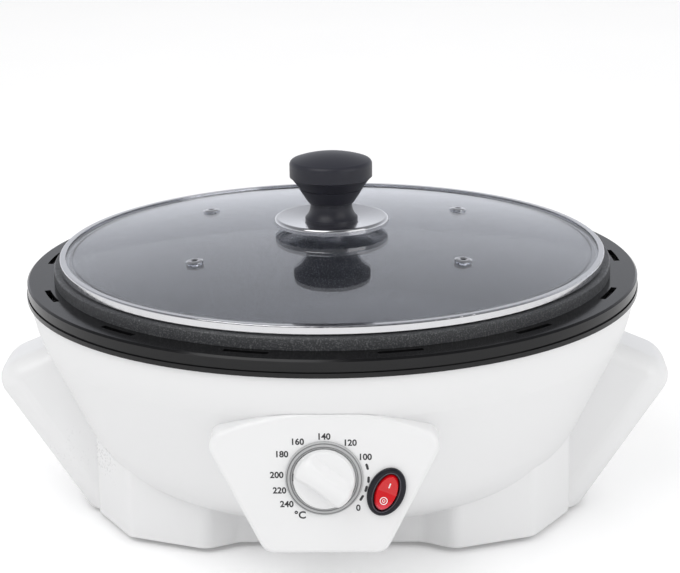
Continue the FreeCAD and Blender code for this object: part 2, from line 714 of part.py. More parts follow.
def oval(half_long, half_short, height, y_back):
    """An oval block across the switch's place that starts at y_back and runs forwards."""
    body = new_body("Oval")
    sketch = body.newObject("Sketcher::SketchObject", "Ellipse")
    sketch.AttachmentSupport = [(origin_plane(body, "XY_Plane"), "")]
    sketch.MapMode = "FlatFace"
    half_long, half_short = dim(half_long), dim(half_short)
    a, b = half_long.value, half_short.value
    sketch.addGeometry(Part.Ellipse(Vector(0, a, 0), Vector(b, 0, 0), Vector()), False)
    sketch.exposeInternalGeometry(0)
    sketch.addConstraint([
        Sketcher.Constraint("Coincident", 0, 3, -1, 1),
        Sketcher.Constraint("PointOnObject", 1, 1, -2),
        Sketcher.Constraint("Distance", 1, 2 * a),
        Sketcher.Constraint("Distance", 2, 2 * b),
    ])
    first = sketch.ConstraintCount - 2
    sketch.setExpression(f"Constraints[{first}]", (half_long * 2).text)
    sketch.setExpression(f"Constraints[{first + 1}]", (half_short * 2).text)
    pad(body, sketch, height)
    frame = switch_frame()
    depth = -dim(y_back).value - value("panel_face")
    body.Placement = frame.multiply(Placement(Vector(0, 0, depth), Rotation()))
    return body


def on_panel(height=0.0):
    """Placement whose Z runs out of the panel at the dial's centre."""
    return Placement(Vector(0, -value("panel_face") - height, value("dial_height")),
                     Rotation(Vector(1, 0, 0), 90))


def make_dial_ring():
    """Grey ring round the knob."""
    outer, bore, thick = S["dial_ring_radius"], S["dial_ring_bore"], S["dial_ring_thick"]
    turned("dial_ring", [
        (bore, 0), (outer, 0), (outer, thick - 0.5), (outer - 0.5, thick), (bore + 0.9, thick),
        (bore, thick - 0.6)], place=on_panel())


def make_temperature_knob():
    """White knob: a round skirt with a raised grip across it."""
    skirt = new_body("Skirt")
    radius, rise, reach = S["knob_radius"], S["knob_skirt"], S["knob_reach"]
    bore = S["spindle_radius"] + 0.02
    revolve(skirt, outline(skirt, "XZ_Plane", [
        (bore, 0.6), (radius, 0.6), (radius, rise - 1.2), (radius - 1.2, rise), (bore, rise + 0.6)],
        {3: (60, 1)}))
    grip = new_body("Grip")
    half = S["grip_width"] / 2
    pad(grip, outline(grip, "XY_Plane", [
        (1.0 - radius, -half), (radius - 1.0, -half), (radius - 1.0, half), (1.0 - radius, half)],
        {1: (radius + 2, 1), 3: (radius + 2, 1)}, offset=rise - 1), reach - rise + 1)
    top = reach

    def top_edge(edge):
        return abs(edge.CenterOfMass.z - top.value) < 0.01

    round_edges(grip, top_edge, 2.5)
    grip.Placement = Placement(Vector(), z_axis_turn(-38))
    core = cylinder(bore, reach - 2.5, (0, 0, 0))
    knob = boolean("Cut", fuse([skirt, grip], "KnobSolid"), core, "Knob")
    return keep(knob, "temperature_knob", on_panel())


def make_thermostat():
    """Thermostat case behind the panel with its bush, and the spindle that turns in it."""
    back = -S["panel_thick"] - 2.0
    wide, deep = S["thermostat_width"], S["thermostat_depth"]
    case = box(wide, wide - 4, deep, (0, 0, back - deep))
    plate = box(wide + 8, 12, 1.2, (0, 0, back - 0.6))
    bush = cylinder(S["spindle_radius"] + 1.2, -back + 0.4, (0, 0, back))
    shell = fuse([case, plate, bush], "ThermostatSolid")
    bore = cylinder(S["spindle_radius"] + S["running_gap"], 30, (0, 0, back - 6))
    keep(boolean("Cut", shell, bore, "Thermostat"), "thermostat_case", on_panel())
    spindle = cylinder(S["spindle_radius"], S["knob_reach"] - 3.0 - back + 5.5, (0, 0, back - 5.5))
    keep(spindle, "thermostat_spindle", on_panel().multiply(spindle.Placement))


def make_sensor():
    """Sensor bulb in its holder under the bowl."""
    reach = S["bowl_floor"] - S["bowl_wall"]
    lie = Rotation(Vector(0, 1, 0), 90)
    radius = 2.6
    spot = (-25, -28, reach - radius - 0.3)
    bulb = cylinder(radius, 50, spot, lie)
    keep(bulb, "sensor_bulb")
    saddle = box(12, 16, 1.0, (0, -28, reach - 2 * radius - 1.3))
    walls = [box(12, 1.0, 2 * radius + 1.2, (0, -28 + side * (radius + 0.8), reach - 2 * radius - 1.2))
             for side in (1, -1)]
    ears = [box(12, 5.5, 1.0, (0, -28 + side * (radius + 3.0), reach - 1.0)) for side in (1, -1)]
    saddle.setExpression("Width", dim(2 * radius + 2.6).text)
    place_saddle = Vector(-6, -28 - radius - 1.3, (reach - 2 * radius - 1.3).value)
    saddle.Placement = Placement(place_saddle, Rotation())
    keep(fuse([saddle] + walls + ears, "BulbClip"), "bulb_clip")
    level = (S["shield_height"] + S["shield_thick"]).value + 2.8
    start = Vector(-25, -28, spot[2].value)
    front = Vector(-14, -value("panel_face") + value("panel_thick") + 2 + value("thermostat_depth"),
                   value("dial_height") - 6)
    points = [start, Vector(-42, -29, spot[2].value), Vector(-44, -62, level), Vector(-36, -86, level),
              Vector(-31, -108, level + 9), Vector(-14, front.y + 10, front.z), front]
    keep(tube("capillary_tube", points, 0.8), "capillary_tube")


def tube(name, points, radius):
    """A round tube of straight runs and tangent arcs through the points."""
    edges = []
    last = points[0]
    for before, corner, after in zip(points, points[1:], points[2:]):
        ahead = (corner - before).normalize()
        away = (after - corner).normalize()
        run = min((corner - before).Length, (after - corner).Length) * 0.4
        first, final = corner - ahead * run, corner + away * run
        bend = corner + (away - ahead).normalize() * arc_offset(ahead, away, run)
        edges.append(Part.LineSegment(last, first).toShape())
        edges.append(Part.Arc(first, bend, final).toShape())
        last = final
    edges.append(Part.LineSegment(last, points[-1]).toShape())
    path = Part.Wire(edges)
    ring = Part.Wire(Part.makeCircle(radius, points[0], (points[1] - points[0]).normalize()))
    thing = DOC.addObject("Part::Feature", name)
    thing.Shape = path.makePipeShell([ring], True, False)
    return thing


def arc_offset(ahead, away, run):
    """Distance from a corner to the middle of its tangent arc."""
    half = ahead.getAngle(away) / 2
    radius = run / math.tan(half)
    return radius / math.cos(half) - radius


def make_switch():
    """Oval rocker switch: bezel with housing, two contacts and the rocker on its pins."""
    frame = switch_frame()
    long, short = S["bezel_long"], S["bezel_short"]
    gap = S["seat_gap"]
    face = -S["panel_face"]
    bezel = oval(long, short, S["bezel_thick"], face)

    def rim(edge):
        return abs(edge.CenterOfMass.z - value("bezel_thick")) < 0.01

    round_edges(bezel, rim, 1.0)
    barrel = oval(long - 2.1, short - 2.1, S["switch_depth"] + 0.5, S["switch_depth"] - S["panel_face"])
    room = oval(S["rocker_long"] + gap, S["rocker_short"] + gap, S["switch_depth"] - 1 + S["bezel_thick"],
                S["switch_depth"] - 1.2 - S["panel_face"])
    pin_turn = Rotation(Vector(0, 1, 0), 90)
    pivot = -1.0
    hole = cylinder(1.0 + S["running_gap"], 2 * short - 5.2, (2.6 - short.value, 0, pivot), pin_turn)
    hole.Placement = frame.multiply(hole.Placement)
    housing = boolean("Cut", fuse([bezel, barrel], "SwitchSolid"), fuse([room, hole]), "SwitchBody")
    keep(housing, "switch_housing")

    body = DOC.addObject("Part::Ellipsoid", "RockerBody")
    body.setExpression("Radius1", S["rocker_short"].text)
    body.setExpression("Radius2", S["rocker_long"].text)
    body.setExpression("Radius3", S["rocker_long"].text)
    body.Placement = Placement(Vector(0, 0, pivot), pin_turn)
    swing = value("rocker_swing")
    tools = []
    for side in (1, -1):
        tip = Rotation(Vector(1, 0, 0), side * swing)
        slab = box(30, 40, 20, (0, side * 20, 3.4), Rotation())
        slab.Placement = Placement(Vector(0, 0, 3.4), tip).multiply(
            Placement(Vector(-15, 0 if side > 0 else -40, 0), Rotation()))
        tools.append(slab)
    tools.append(box(30, 40, 20, (0, 0, pivot - 4.5 - 20)))
    rocker = boolean("Cut", body, fuse(tools, "RockerCuts"), "RockerSolid")
    pins = cylinder(1.0, 2 * short - 5.6, (2.8 - short.value, 0, pivot), pin_turn)
    tilt = Placement(Vector(), Rotation(Vector(1, 0, 0), -swing), Vector(0, 0, pivot))
    keep(fuse([rocker, pins], "Rocker"), "switch_rocker", frame.multiply(tilt))
    for number, side in enumerate((1, 0, -1), start=1):
        blade = box(0.8, 4.8, 7.5, (0, side * 6.0, -S["switch_depth"] - 7.5))
        keep(blade, f"switch_terminal_{number}", frame.multiply(blade.Placement))


def make_roasting_bowl():
    """Coated pan with a round lip, a bush seat and three posts for the heat shield."""
    pan = new_body("Pan")
    floor, wall, top = S["bowl_floor"], S["bowl_wall"], S["lip_top"]
    flare = (S["bowl_mouth"] - S["bowl_floor_radius"]) / (top - floor)
    seat = S["ring_top"]
    skin = wall * 1.09
    low = S["bowl_floor_radius"] + skin - wall * flare
    bore = S["bush_radius"]
    revolve(pan, outline(pan, "XZ_Plane", [
        (bore, floor - wall), (low, floor - wall), (S["bowl_mouth"] + skin - (top - seat) * flare, seat),
        (S["lip_radius"], seat), (S["lip_radius"], top - 0.8), (S["lip_radius"] - 0.8, top),
        (S["bowl_mouth"], top), (S["bowl_floor_radius"], floor), (bore, floor)]))

    def corner(height, radius):
        def test(edge):
            box_ = edge.BoundBox
            return abs(box_.ZMax - height) < 0.01 and abs(box_.XMax - radius) < 0.01
        return test

    round_edges(pan, corner(value("bowl_floor"), value("bowl_floor_radius")), S["bowl_corner"])
    round_edges(pan, corner((floor - wall).value, low.value), S["bowl_corner"] + wall)
    posts = []
    holes = []
    deep = floor - wall - S["shield_height"] - S["shield_thick"]
    for x, y in post_spots():
        base = S["shield_height"] + S["shield_thick"]
        posts.append(cylinder(S["post_radius"], deep + 0.5, (x, y, base)))
        holes.append(cylinder(S["screw_radius"] - 0.2, 8, (x, y, base - 1)))
    whole = boolean("Cut", fuse([pan] + posts, "PanSolid"), fuse(holes, "PanHoles"), "PanDone")
    keep(whole, "roasting_bowl")


def post_spots():
    found = []
    for step in range(3):
        angle = math.radians(60 + 120 * step)
        found.append((value("post_circle") * math.cos(angle), value("post_circle") * math.sin(angle)))
    return found


def make_shaft_bush():
    """Flanged bush in the bowl's floor."""
    bore = S["shaft_radius"] + S["running_gap"]
    floor, under = S["bowl_floor"], S["bowl_floor"] - S["bowl_wall"]
    outer = S["bush_radius"] - 0.05
    turned("shaft_bush", [
        (bore, under - 4), (outer + 3, under - 4), (outer + 3, under - 0.1), (outer, under - 0.1),
        (outer, floor + 2.5), (outer - 0.8, floor + 3.2), (bore, floor + 3.2)])


def make_stirrer():
    """Drive shaft, hub, two arms and two angled blades, which turn together."""
    low = S["plate_bottom"] + S["plate_thick"] + S["flange_thick"] + S["motor_height"]
    floor = S["bowl_floor"] + S["stir_gap"]
    top = floor + S["hub_height"]
    shaft_top = top - 6
    keep(cylinder(S["shaft_radius"], shaft_top - low - 2, (0, 0, low + 2)), "drive_shaft")
    bush = S["bush_radius"] + 1.0
    bore = S["shaft_radius"] + 0.02
    hub = new_body("Hub")
    radius = S["hub_radius"]
    cap = radius * 0.62
    revolve(hub, outline(hub, "XZ_Plane", [
        (bush, floor), (radius, floor), (radius, floor + 9), (cap, top - 4), (cap - 4, top), (0, top),
        (0, shaft_top + 0.1), (bore, shaft_top + 0.1), (bore, floor + 4.5), (bush, floor + 4.5)],
        {3: (6, 1)}))
    arms, blades = [], []
    height = S["arm_height"]
    for side in (0, 180):
        turn = z_axis_turn(side)
        start = turn.multVec(Vector(6, 0, 0))
        arm = cylinder(S["arm_radius"], S["arm_reach"] - 6, (start.x, start.y, height),
                       turn * Rotation(Vector(0, 1, 0), 90))
        arms.append(arm)
        middle = turn.multVec(Vector(value("arm_reach") - value("blade_length") / 2, 0, 0))
        blades.append(box(S["blade_length"], S["blade_thick"], S["blade_height"],
                          (middle.x, middle.y, floor + 0.5), turn * z_axis_turn(value("blade_pitch"))))
    rods = fuse(arms, "Arms")
    core = boolean("Cut", hub, fuse(arms, "ArmSeats"), "HubDone")
    keep(core, "stirrer_hub")
    for number, (arm, blade) in enumerate(zip(arms, blades), start=1):
        keep(arm, f"stirrer_arm_{number}")
        keep(boolean("Cut", blade, rods, "BladeDone"), f"stirrer_blade_{number}")


def make_heater():
    """Tubular heating element under the bowl, with two pins and three clamps."""
    under = S["bowl_floor"] - S["bowl_wall"]
    centre = under - S["heater_radius"] - S["seat_gap"]
    ring = DOC.addObject("Part::Torus", "HeaterRing")
    ring.setExpression("Radius1", S["heater_circle"].text)
    ring.setExpression("Radius2", S["heater_radius"].text)
    ring.Angle3 = 320
    place(ring, (0, 0, centre), z_axis_turn(110))
    ends = []
    for angle in (110, 70):
        x = value("heater_circle") * math.cos(math.radians(angle))
        y = value("heater_circle") * math.sin(math.radians(angle))
        ball = DOC.addObject("Part::Sphere", "HeaterEnd")
        ball.setExpression("Radius", S["heater_radius"].text)
        place(ball, (x, y, centre))
        ends += [ball, cylinder(S["heater_radius"], 14, (x, y, centre - 14)),
                 cylinder(1.2, 21, (x, y, centre - 21))]
    keep(fuse([ring] + ends, "Heater"), "heating_element")
    clips = []
    for angle in (200, 270, 340):
        turn = z_axis_turn(angle)
        spot = turn.multVec(Vector(value("heater_circle"), 0, 0))
        wide = 2 * value("heater_radius") + 0.6
        parts = [box(wide + 2.4, 10, 1.2, (spot.x, spot.y, centre - wide / 2 - 1.2), turn)]
        for side in (1, -1):
            leg = turn.multVec(Vector(value("heater_circle") + side * (wide / 2 + 0.6), 0, 0))
            parts.append(box(1.2, 10, under - centre + wide / 2 + 0.5,
                             (leg.x, leg.y, centre - wide / 2 - 0.6), turn))
            foot = turn.multVec(Vector(value("heater_circle") + side * (wide / 2 + 3.5), 0, 0))
            parts.append(box(7, 10, 1.2, (foot.x, foot.y, under - 1.2), turn))
        clips.append(parts)
    for number, parts in enumerate(clips, start=1):
        top = box(80, 80, 20, (0, 0, under))
        top.Placement = Placement(Vector(-120, -120, under.value), Rotation())
        top.setExpression("Length", "240")
        top.setExpression("Width", "240")
        keep(boolean("Cut", fuse(parts, "Clip"), top, "ClipDone"), f"heater_clamp_{number}")


def make_heat_shield():
    """Sheet dish that hangs on the bowl's posts, with room for the shaft and heater ends."""
    dish = new_body("Dish")
    low, thick, radius = S["shield_height"], S["shield_thick"], S["shield_radius"]
    revolve(dish, outline(dish, "XZ_Plane", [
        (12, low), (radius - 6, low), (radius, low + 7), (radius - thick, low + 7.5),
        (radius - 6 - thick / 2, low + thick), (12, low + thick)]))
    holes = [cylinder(S["screw_radius"] + 0.3, 4, (x, y, low - 2)) for x, y in post_spots()]
    for angle in (110, 70):
        x = value("heater_circle") * math.cos(math.radians(angle))
        y = value("heater_circle") * math.sin(math.radians(angle))
        holes.append(cylinder(S["heater_radius"] + 2.5, 20, (x, y, low - 5)))
    keep(boolean("Cut", dish, fuse(holes, "ShieldHoles"), "Shield"), "heat_shield")
    seats = [Vector(x, y, value("shield_height")) for x, y in post_spots()]
    plain("shield_screws", Part.makeCompound([screw(seat, 6.5) for seat in seats]))


def make_motor():
    """Gear motor on the base plate: can, gear case and mounting flange."""
    low = S["plate_bottom"] + S["plate_thick"]
    base = low + S["flange_thick"]
    flange = new_body("Flange")
    reach = S["flange_reach"]
    pad(flange, outline(flange, "XY_Plane", [
        (-reach, -10), (reach, -10), (reach, 10), (-reach, 10)], offset=low), S["flange_thick"])
    round_edges(flange, lambda edge: upright(edge, 1.0), 4)
    holes = fuse([cylinder(S["screw_radius"] + 0.3, 5, (side * (reach - 5), 0, low - 1))
                  for side in (1, -1)], "FlangeHoles")
    keep(boolean("Cut", flange, holes, "MotorFlangeDone"), "motor_flange")
    can = new_body("Can")
    radius = S["motor_radius"]
    top = base + S["motor_height"]
    revolve(can, outline(can, "XZ_Plane", [
        (0, base), (radius - 1, base), (radius, base + 1), (radius, top - 1), (radius - 1, top), (0, top)]))
    keep(can, "motor_can")
    case = S["gear_case_radius"]
    lid = top + S["gear_case_height"]
    bore = S["shaft_radius"] + S["running_gap"]
    turned("gear_case", [
        (0, top), (case, top), (case, lid - 1), (case - 1, lid), (9, lid), (9, lid + 3), (bore, lid + 3),
        (bore, top + 1.8), (0, top + 1.8)])
    seats = [Vector(side * value("flange_reach") - side * 5, 0, value("plate_bottom")) for side in (1, -1)]
    plain("motor_screws", Part.makeCompound([screw(seat, 6) for seat in seats]))


def make_base_plate():
    """Plate that closes the shell below, with air slots and screw holes."""
    inset = S["wall"] + S["fit_gap"]
    body = new_body("BaseBody")
    low, thick = S["plate_bottom"], S["plate_thick"]
    pad(body, outline(body, "XY_Plane", base_points(inset), offset=low), thick)
    round_edges(body, lambda edge: upright(edge, 1.0), S["base_round"])
    holes = []
    for across, along in boss_spots():
        holes.append(cylinder(S["screw_radius"] + 0.3, 6, (across, along, low - 1)))
    for side in (1, -1):
        holes.append(cylinder(S["screw_radius"] + 0.3, 6, (side * (S["flange_reach"] - 5), 0, low - 1)))
        for step in range(5):
            holes.append(box(36, 3, 6, (side * 62, -24 + 12 * step, low - 1)))
    keep(boolean("Cut", body, fuse(holes, "BaseHoles"), "BasePlateDone"), "base_plate")
    seats = [Vector(across.value, along.value, low.value) for across, along in boss_spots()]
    plain("base_screws", Part.makeCompound([screw(seat, 11.5) for seat in seats]))


def make_feet():
    low = value("plate_bottom")
    radius = S["foot_radius"]
    number = 0
    for sx in (1, -1):
        for sy in (1, -1):
            number += 1
            spot = Placement(Vector(sx * value("foot_across"), sy * value("foot_along"), 0), Rotation())
            turned(f"rubber_foot_{number}", [
                (0, 0), (radius - 1.4, 0), (radius - 0.6, 0.6), (radius, low), (0, low)], place=spot)


def make_cord_gland():
    """Gland for the cord in the middle of the back, with its nut."""
    wall_out = S["notch_along"]
    barrel, bore = S["gland_radius"], S["gland_bore"]
    turn = Rotation(Vector(1, 0, 0), -90)
    spot = Placement(Vector(0, wall_out.value, value("gland_height")), turn)
    turned("cord_gland", [
        (bore, -12), (barrel, -12), (barrel, 0), (barrel + 1.6, 0), (barrel + 1.6, 3),
        (bore + 0.8, 8), (bore, 8)], place=spot)
    inner = -S["wall"]
    nut = new_body("NutBody")
    outer = barrel + 1.5
    revolve(nut, outline(nut, "XZ_Plane", [
        (barrel + 0.05, inner - 3), (outer, inner - 3), (outer, inner), (barrel + 0.05, inner)]))
    nut.Placement = spot
    keep(nut, "gland_nut")


def make_electrics():
    """Terminal block on the base plate and the thermal fuse under the bowl."""
    low = S["plate_bottom"] + S["plate_thick"]
    block = box(34, 16, 12, (-20, 56, low))
    cuts = []
    for step in range(3):
        cuts.append(cylinder(1.9, 5, (-31 + 11 * step, 60, low + 8)))
        cuts.append(cylinder(1.6, 20, (-31 + 11 * step, 46, low + 4.5), Rotation(Vector(1, 0, 0), -90)))
    keep(boolean("Cut", block, fuse(cuts, "BlockHoles"), "Block"), "terminal_block")
    under = S["bowl_floor"] - S["bowl_wall"]
    fuse_body = cylinder(2.2, 18, (21, 20, under - 2.5), Rotation(Vector(0, 1, 0), 90))
    keep(fuse_body, "thermal_fuse")
    strap = [box(8, 13, 0.8, (30, 20, under - 5.5)), box(8, 0.8, 5.0, (30, 14, under - 5.3)),
             box(8, 0.8, 5.0, (30, 26, under - 5.3)), box(8, 5, 0.8, (30, 12, under - 0.8)),
             box(8, 5, 0.8, (30, 28, under - 0.8))]
    keep(fuse(strap, "Strap"), "fuse_clip")


def lid_seat():
    return S["lip_top"] + 0.2


def glass_edge():
    """Height of the glass's flat edge, on its upper side."""
    return lid_seat() + S["rim_sheet"] + 0.1 + S["glass_thick"]


def dome_curve(extra=0):
    """Curve of the glass: the rise over the dome's radius."""
    rise, radius = S["dome_rise"], S["dome_radius"]
    return (radius * radius + rise * rise) / (rise * 2) + extra


def glass_height(radius):
    """Height of the outer face of the glass at a distance from the axis."""
    curve = dome_curve().value
    apex = (glass_edge() + S["dome_rise"]).value
    return apex - curve + math.sqrt(curve ** 2 - radius ** 2)


def make_glass():
    """Domed glass with a flat edge, a hole for the knob's screw and four vent holes."""
    edge, thick, rise = glass_edge(), S["glass_thick"], S["dome_rise"]
    radius, rim = S["dome_radius"], S["rim_radius"] - S["rim_sheet"] - 0.2
    bore = S["lid_screw_radius"] + 0.8
    body = new_body("GlassBody")
    curve = dome_curve()
    drop = curve - (curve * curve - bore * bore).root()
    revolve(body, outline(body, "XZ_Plane", [
        (bore, edge + rise - drop - thick), (radius, edge - thick), (rim, edge - thick), (rim, edge),
        (radius, edge), (bore, edge + rise - drop)],
        {0: (curve, -1), 4: (curve, 1)}))
    holes = []
    for place_ in vent_places():
        hole = cylinder(2.4, 14, (0, 0, -8))
        hole.Placement = place_.multiply(hole.Placement)
        holes.append(hole)
    keep(boolean("Cut", body, fuse(holes, "VentHoles"), "Glass"), "lid_glass")


def vent_places():
    """Placements square to the glass at the four vents."""
    found = []
    for side in (1, -1):
        for end in (0, 180):
            angle = end + side * value("vent_angle")
            radius = value("vent_circle")
            lean = math.degrees(math.asin(radius / dome_curve().value))
            turn = z_axis_turn(angle) * Rotation(Vector(0, 1, 0), lean)
            spot = z_axis_turn(angle).multVec(Vector(radius, 0, glass_height(radius)))
            found.append(Placement(spot, turn))
    return found


def make_vents():
    """Four riveted steel eyelets that let steam out."""
    flange, bore, thick = S["vent_radius"], S["vent_bore"], S["glass_thick"]
    for number, spot in enumerate(vent_places(), start=1):
        turned(f"lid_vent_{number}", [
            (bore, -thick - 1.2), (3.6, -thick - 1.2), (3.6, -thick - 0.2), (2.2, -thick - 0.2),
            (2.2, 0.15), (flange, 0.15), (flange, 0.75), (3.4, 1.3), (2.3, 1.3), (bore, 0.8)], place=spot)


def make_lid_rim():
    """Steel channel round the edge of the glass."""
    low, sheet = lid_seat(), S["rim_sheet"]
    outer, top = S["rim_radius"], glass_edge() + 0.1
    inner = outer - S["rim_grip"]
    body = new_body("RimBody")
    revolve(body, outline(body, "XZ_Plane", [
        (inner, low), (outer - 0.8, low), (outer, low + 0.8), (outer, top + sheet - 0.8),
        (outer - 0.8, top + sheet), (inner, top + sheet), (inner, top), (outer - sheet, top),
        (outer - sheet, low + sheet), (inner, low + sheet)],
        {1: (0.8, 1), 3: (0.8, 1)}))
    keep(body, "lid_rim")


def make_lid_handle():
    """Chrome disc, black knob and the screw with its washer that hold them on the glass."""
    seat = glass_edge() + S["dome_rise"] + 0.05
    thick, radius, collar = S["disc_thick"], S["disc_radius"], S["disc_collar"]
    bore = S["lid_screw_radius"] + 0.3
    flat = S["handle_foot"] + 1.5
    low = seat + S["disc_rise"]
    brim = low + 1.4
    turned("chrome_disc", [
        (bore, seat), (collar, seat), (collar, low - thick), (flat, low - thick),
        (radius - thick - 1.0, brim - thick), (radius - thick, brim - thick - 1.0),
        (radius - thick, brim - S["disc_skirt"]), (radius, brim - S["disc_skirt"]), (radius, brim - 1.6),
        (radius - 1.6, brim), (flat, low), (bore, low)],
        {4: (1.0, 1), 8: (1.6, 1)})
    foot, neck, cap, high = S["handle_foot"], S["handle_neck"], S["handle_cap"], S["handle_height"]
    screw_r = S["lid_screw_radius"]
    crown, shoulder = cap - 1.6, high - 3.6
    dome = (crown * crown + dim(3.6) * 3.6) / 7.2
    turned("lid_knob", [
        (screw_r, low), (foot, low), (foot, low + 1.2), (neck, low + 7.6), (neck, low + 9.0),
        (neck + 0.9, low + 9.3), (neck + 0.9, low + 9.9), (neck + 1.6, low + 10.3),
        (neck + 6.0, low + 17.2), (neck + 5.6, low + 17.6), (neck + 6.2, low + 18.1),
        (cap - 1.0, low + high - 13.4), (cap, low + high - 12.6), (cap, low + shoulder - 2.8),
        (crown, low + shoulder), (0, high + low), (0, high + low - 14), (screw_r, high + low - 14)],
        {2: (9, -1), 13: (2.6, 1), 14: (dome, 1)})
    under = glass_edge() + S["dome_rise"] - S["glass_thick"]
    body = new_body("LidScrewBody")
    washer_top = under - 0.1
    revolve(body, outline(body, "XZ_Plane", [
        (0, under - 4.4), (4.2, under - 4.4), (4.8, under - 3.6), (4.8, washer_top - 1.3),
        (screw_r - 0.05, washer_top - 1.3), (screw_r - 0.05, low + 20), (0, low + 20)]))
    keep(body, "lid_screw")
    turned("lid_washer", [
        (screw_r + 0.2, washer_top - 1.2), (9, washer_top - 1.2), (9, washer_top - 0.15),
        (screw_r + 0.2, washer_top)])


def check_and_write():
    """Stops on any failed object or poor shape, then writes one file for each piece."""
    DOC.recompute()
    bad = [o.Label for o in DOC.Objects if "Invalid" in o.State or "Error" in o.State]
    if bad:
        raise RuntimeError(f"failed objects: {bad}")
    for thing in SUB_PARTS:
        if thing.Shape.isNull() or not thing.Shape.isValid() or not thing.Shape.Solids:
            raise RuntimeError(f"poor shape: {thing.Label}")
    os.makedirs("parts", exist_ok=True)
    for thing in SUB_PARTS:
        thing.Shape.exportStep(f"parts/{thing.Label}.step")
        print(thing.Label, len(thing.Shape.Solids), round(thing.Shape.Volume, 1))


make_outer_shell()
make_rim_ring()
make_ring_screws()
make_control_panel()
make_dial_ring()
make_temperature_knob()
make_thermostat()
make_sensor()
make_switch()
make_roasting_bowl()
make_shaft_bush()
make_stirrer()
make_heater()
make_heat_shield()
make_motor()
make_base_plate()
make_feet()
make_cord_gland()
make_electrics()
make_glass()
make_vents()
make_lid_rim()
make_lid_handle()
check_and_write()
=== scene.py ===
"""Looks of the home coffee bean roaster: finishes, printed dial, marks, light and camera."""
import json
import math

import bmesh
import bpy
from bpy.props import FloatProperty, FloatVectorProperty, PointerProperty
from mathutils import Matrix, Vector


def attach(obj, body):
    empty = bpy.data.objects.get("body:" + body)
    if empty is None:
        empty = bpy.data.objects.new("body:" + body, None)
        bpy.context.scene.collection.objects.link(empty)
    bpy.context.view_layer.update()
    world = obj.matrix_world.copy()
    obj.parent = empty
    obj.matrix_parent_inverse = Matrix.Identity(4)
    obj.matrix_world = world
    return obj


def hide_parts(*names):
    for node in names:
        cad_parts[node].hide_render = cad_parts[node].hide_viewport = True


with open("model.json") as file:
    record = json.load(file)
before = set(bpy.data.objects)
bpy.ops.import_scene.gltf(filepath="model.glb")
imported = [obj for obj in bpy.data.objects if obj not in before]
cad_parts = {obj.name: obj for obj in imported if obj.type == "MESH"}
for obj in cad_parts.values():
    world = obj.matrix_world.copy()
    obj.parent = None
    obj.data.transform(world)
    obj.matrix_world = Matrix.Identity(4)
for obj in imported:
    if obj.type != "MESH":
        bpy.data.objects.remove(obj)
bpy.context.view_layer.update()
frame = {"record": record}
JOINTS = {joint["name"]: joint for joint in frame["record"]["behaviour"]["joints"]}

bl_info = {
    "name": "Home Coffee Bean Roaster",
    "version": (1, 0, 0),
    "blender": (4, 5, 0),
    "location": "View3D > Sidebar > Roaster",
    "description": "Dresses the roaster's frame in finishes, dial print, light and camera",
    "category": "Object",
}

MM = 0.001
DIAL = JOINTS["temperature_turn"]["pos_m"]
ROCKER = JOINTS["rocker_tilt"]
OUTWARD = Vector((0, -1, 0))

# Dial scale: texts and places on the panel's face, in millimetres from the dial's centre, and
# the share of the type's size that its strokes grow by
DIAL_FIGURES = (
    ("0", 16.3, -15.5), ("100", 20.2, 10.8), ("120", 13.0, 18.1), ("140", 0.4, 21.3),
    ("160", -12.4, 18.7), ("180", -20.1, 12.3), ("200", -23.0, 1.6), ("220", -21.8, -6.4),
    ("240", -18.4, -13.5))
DIAL_UNIT = ("°C", -12.0, -19.1)
DIAL_DASHES = ((18.0, -10.4), (20.2, -5.7), (21.4, -1.0), (20.8, 5.7))
STROKE_GROWTH = 0.028

# Ring round the knob, in millimetres: its outline as radius and height, and the radii that
# its grooves lie between, whose faces are painted darker as shade
DIAL_RING_OUTLINE = (
    (15.6, 0.0), (18.9, 0.0), (18.9, 1.1), (18.65, 1.5), (18.3, 1.55), (18.15, 1.2), (17.9, 1.2),
    (17.75, 1.7), (16.65, 1.75), (16.5, 1.25), (16.2, 1.25), (16.05, 1.6), (15.75, 1.5),
    (15.6, 1.2))
DIAL_RING_GROOVES = ((16.1, 16.6), (17.8, 18.25))
DIAL_RING_STEPS = 96

# Temperature knob, in millimetres. A ring of the side has a radius, the share of the top's
# height that it keeps, and the height that it starts from.
KNOB_STEPS = 144
KNOB_TOP_RADIUS = 14.35
KNOB_TOP_RINGS = (*(0.5 + 0.5 * step for step in range(28)), KNOB_TOP_RADIUS)
KNOB_SIDE_RINGS = (
    (14.6, 0.88, 2.2), (14.75, 0.6, 2.2), (14.8, 0.0, 2.2), (15.15, 0.0, 1.9), (15.2, 0.0, 0.7),
    (3.05, 0.0, 0.7), (3.05, 0.0, 8.6))
KNOB_LEAN = math.radians(-38)
SKIRT_HEIGHT, SKIRT_DOME, SKIRT_RADIUS = 4.0, 0.6, 15.0
GRIP_HEIGHT, GRIP_FALL, GRIP_REACH, GRIP_ROUND = 11.7, 1.1, 14.0, 0.05
GRIP_HALF_WAIST, GRIP_FLARE, GRIP_FLANK = 3.6, 2.0, 3.4
GRIP_END_START, GRIP_END_RUN, GRIP_END_DROP = 12.2, 2.4, 2.2
POINTER_TURN = math.radians(176)
POINTER_RADIUS, POINTER_HEIGHT = 14.98, 2.02
POINTER_LONG, POINTER_WIDE, POINTER_THICK = 3.9, 0.45, 0.06

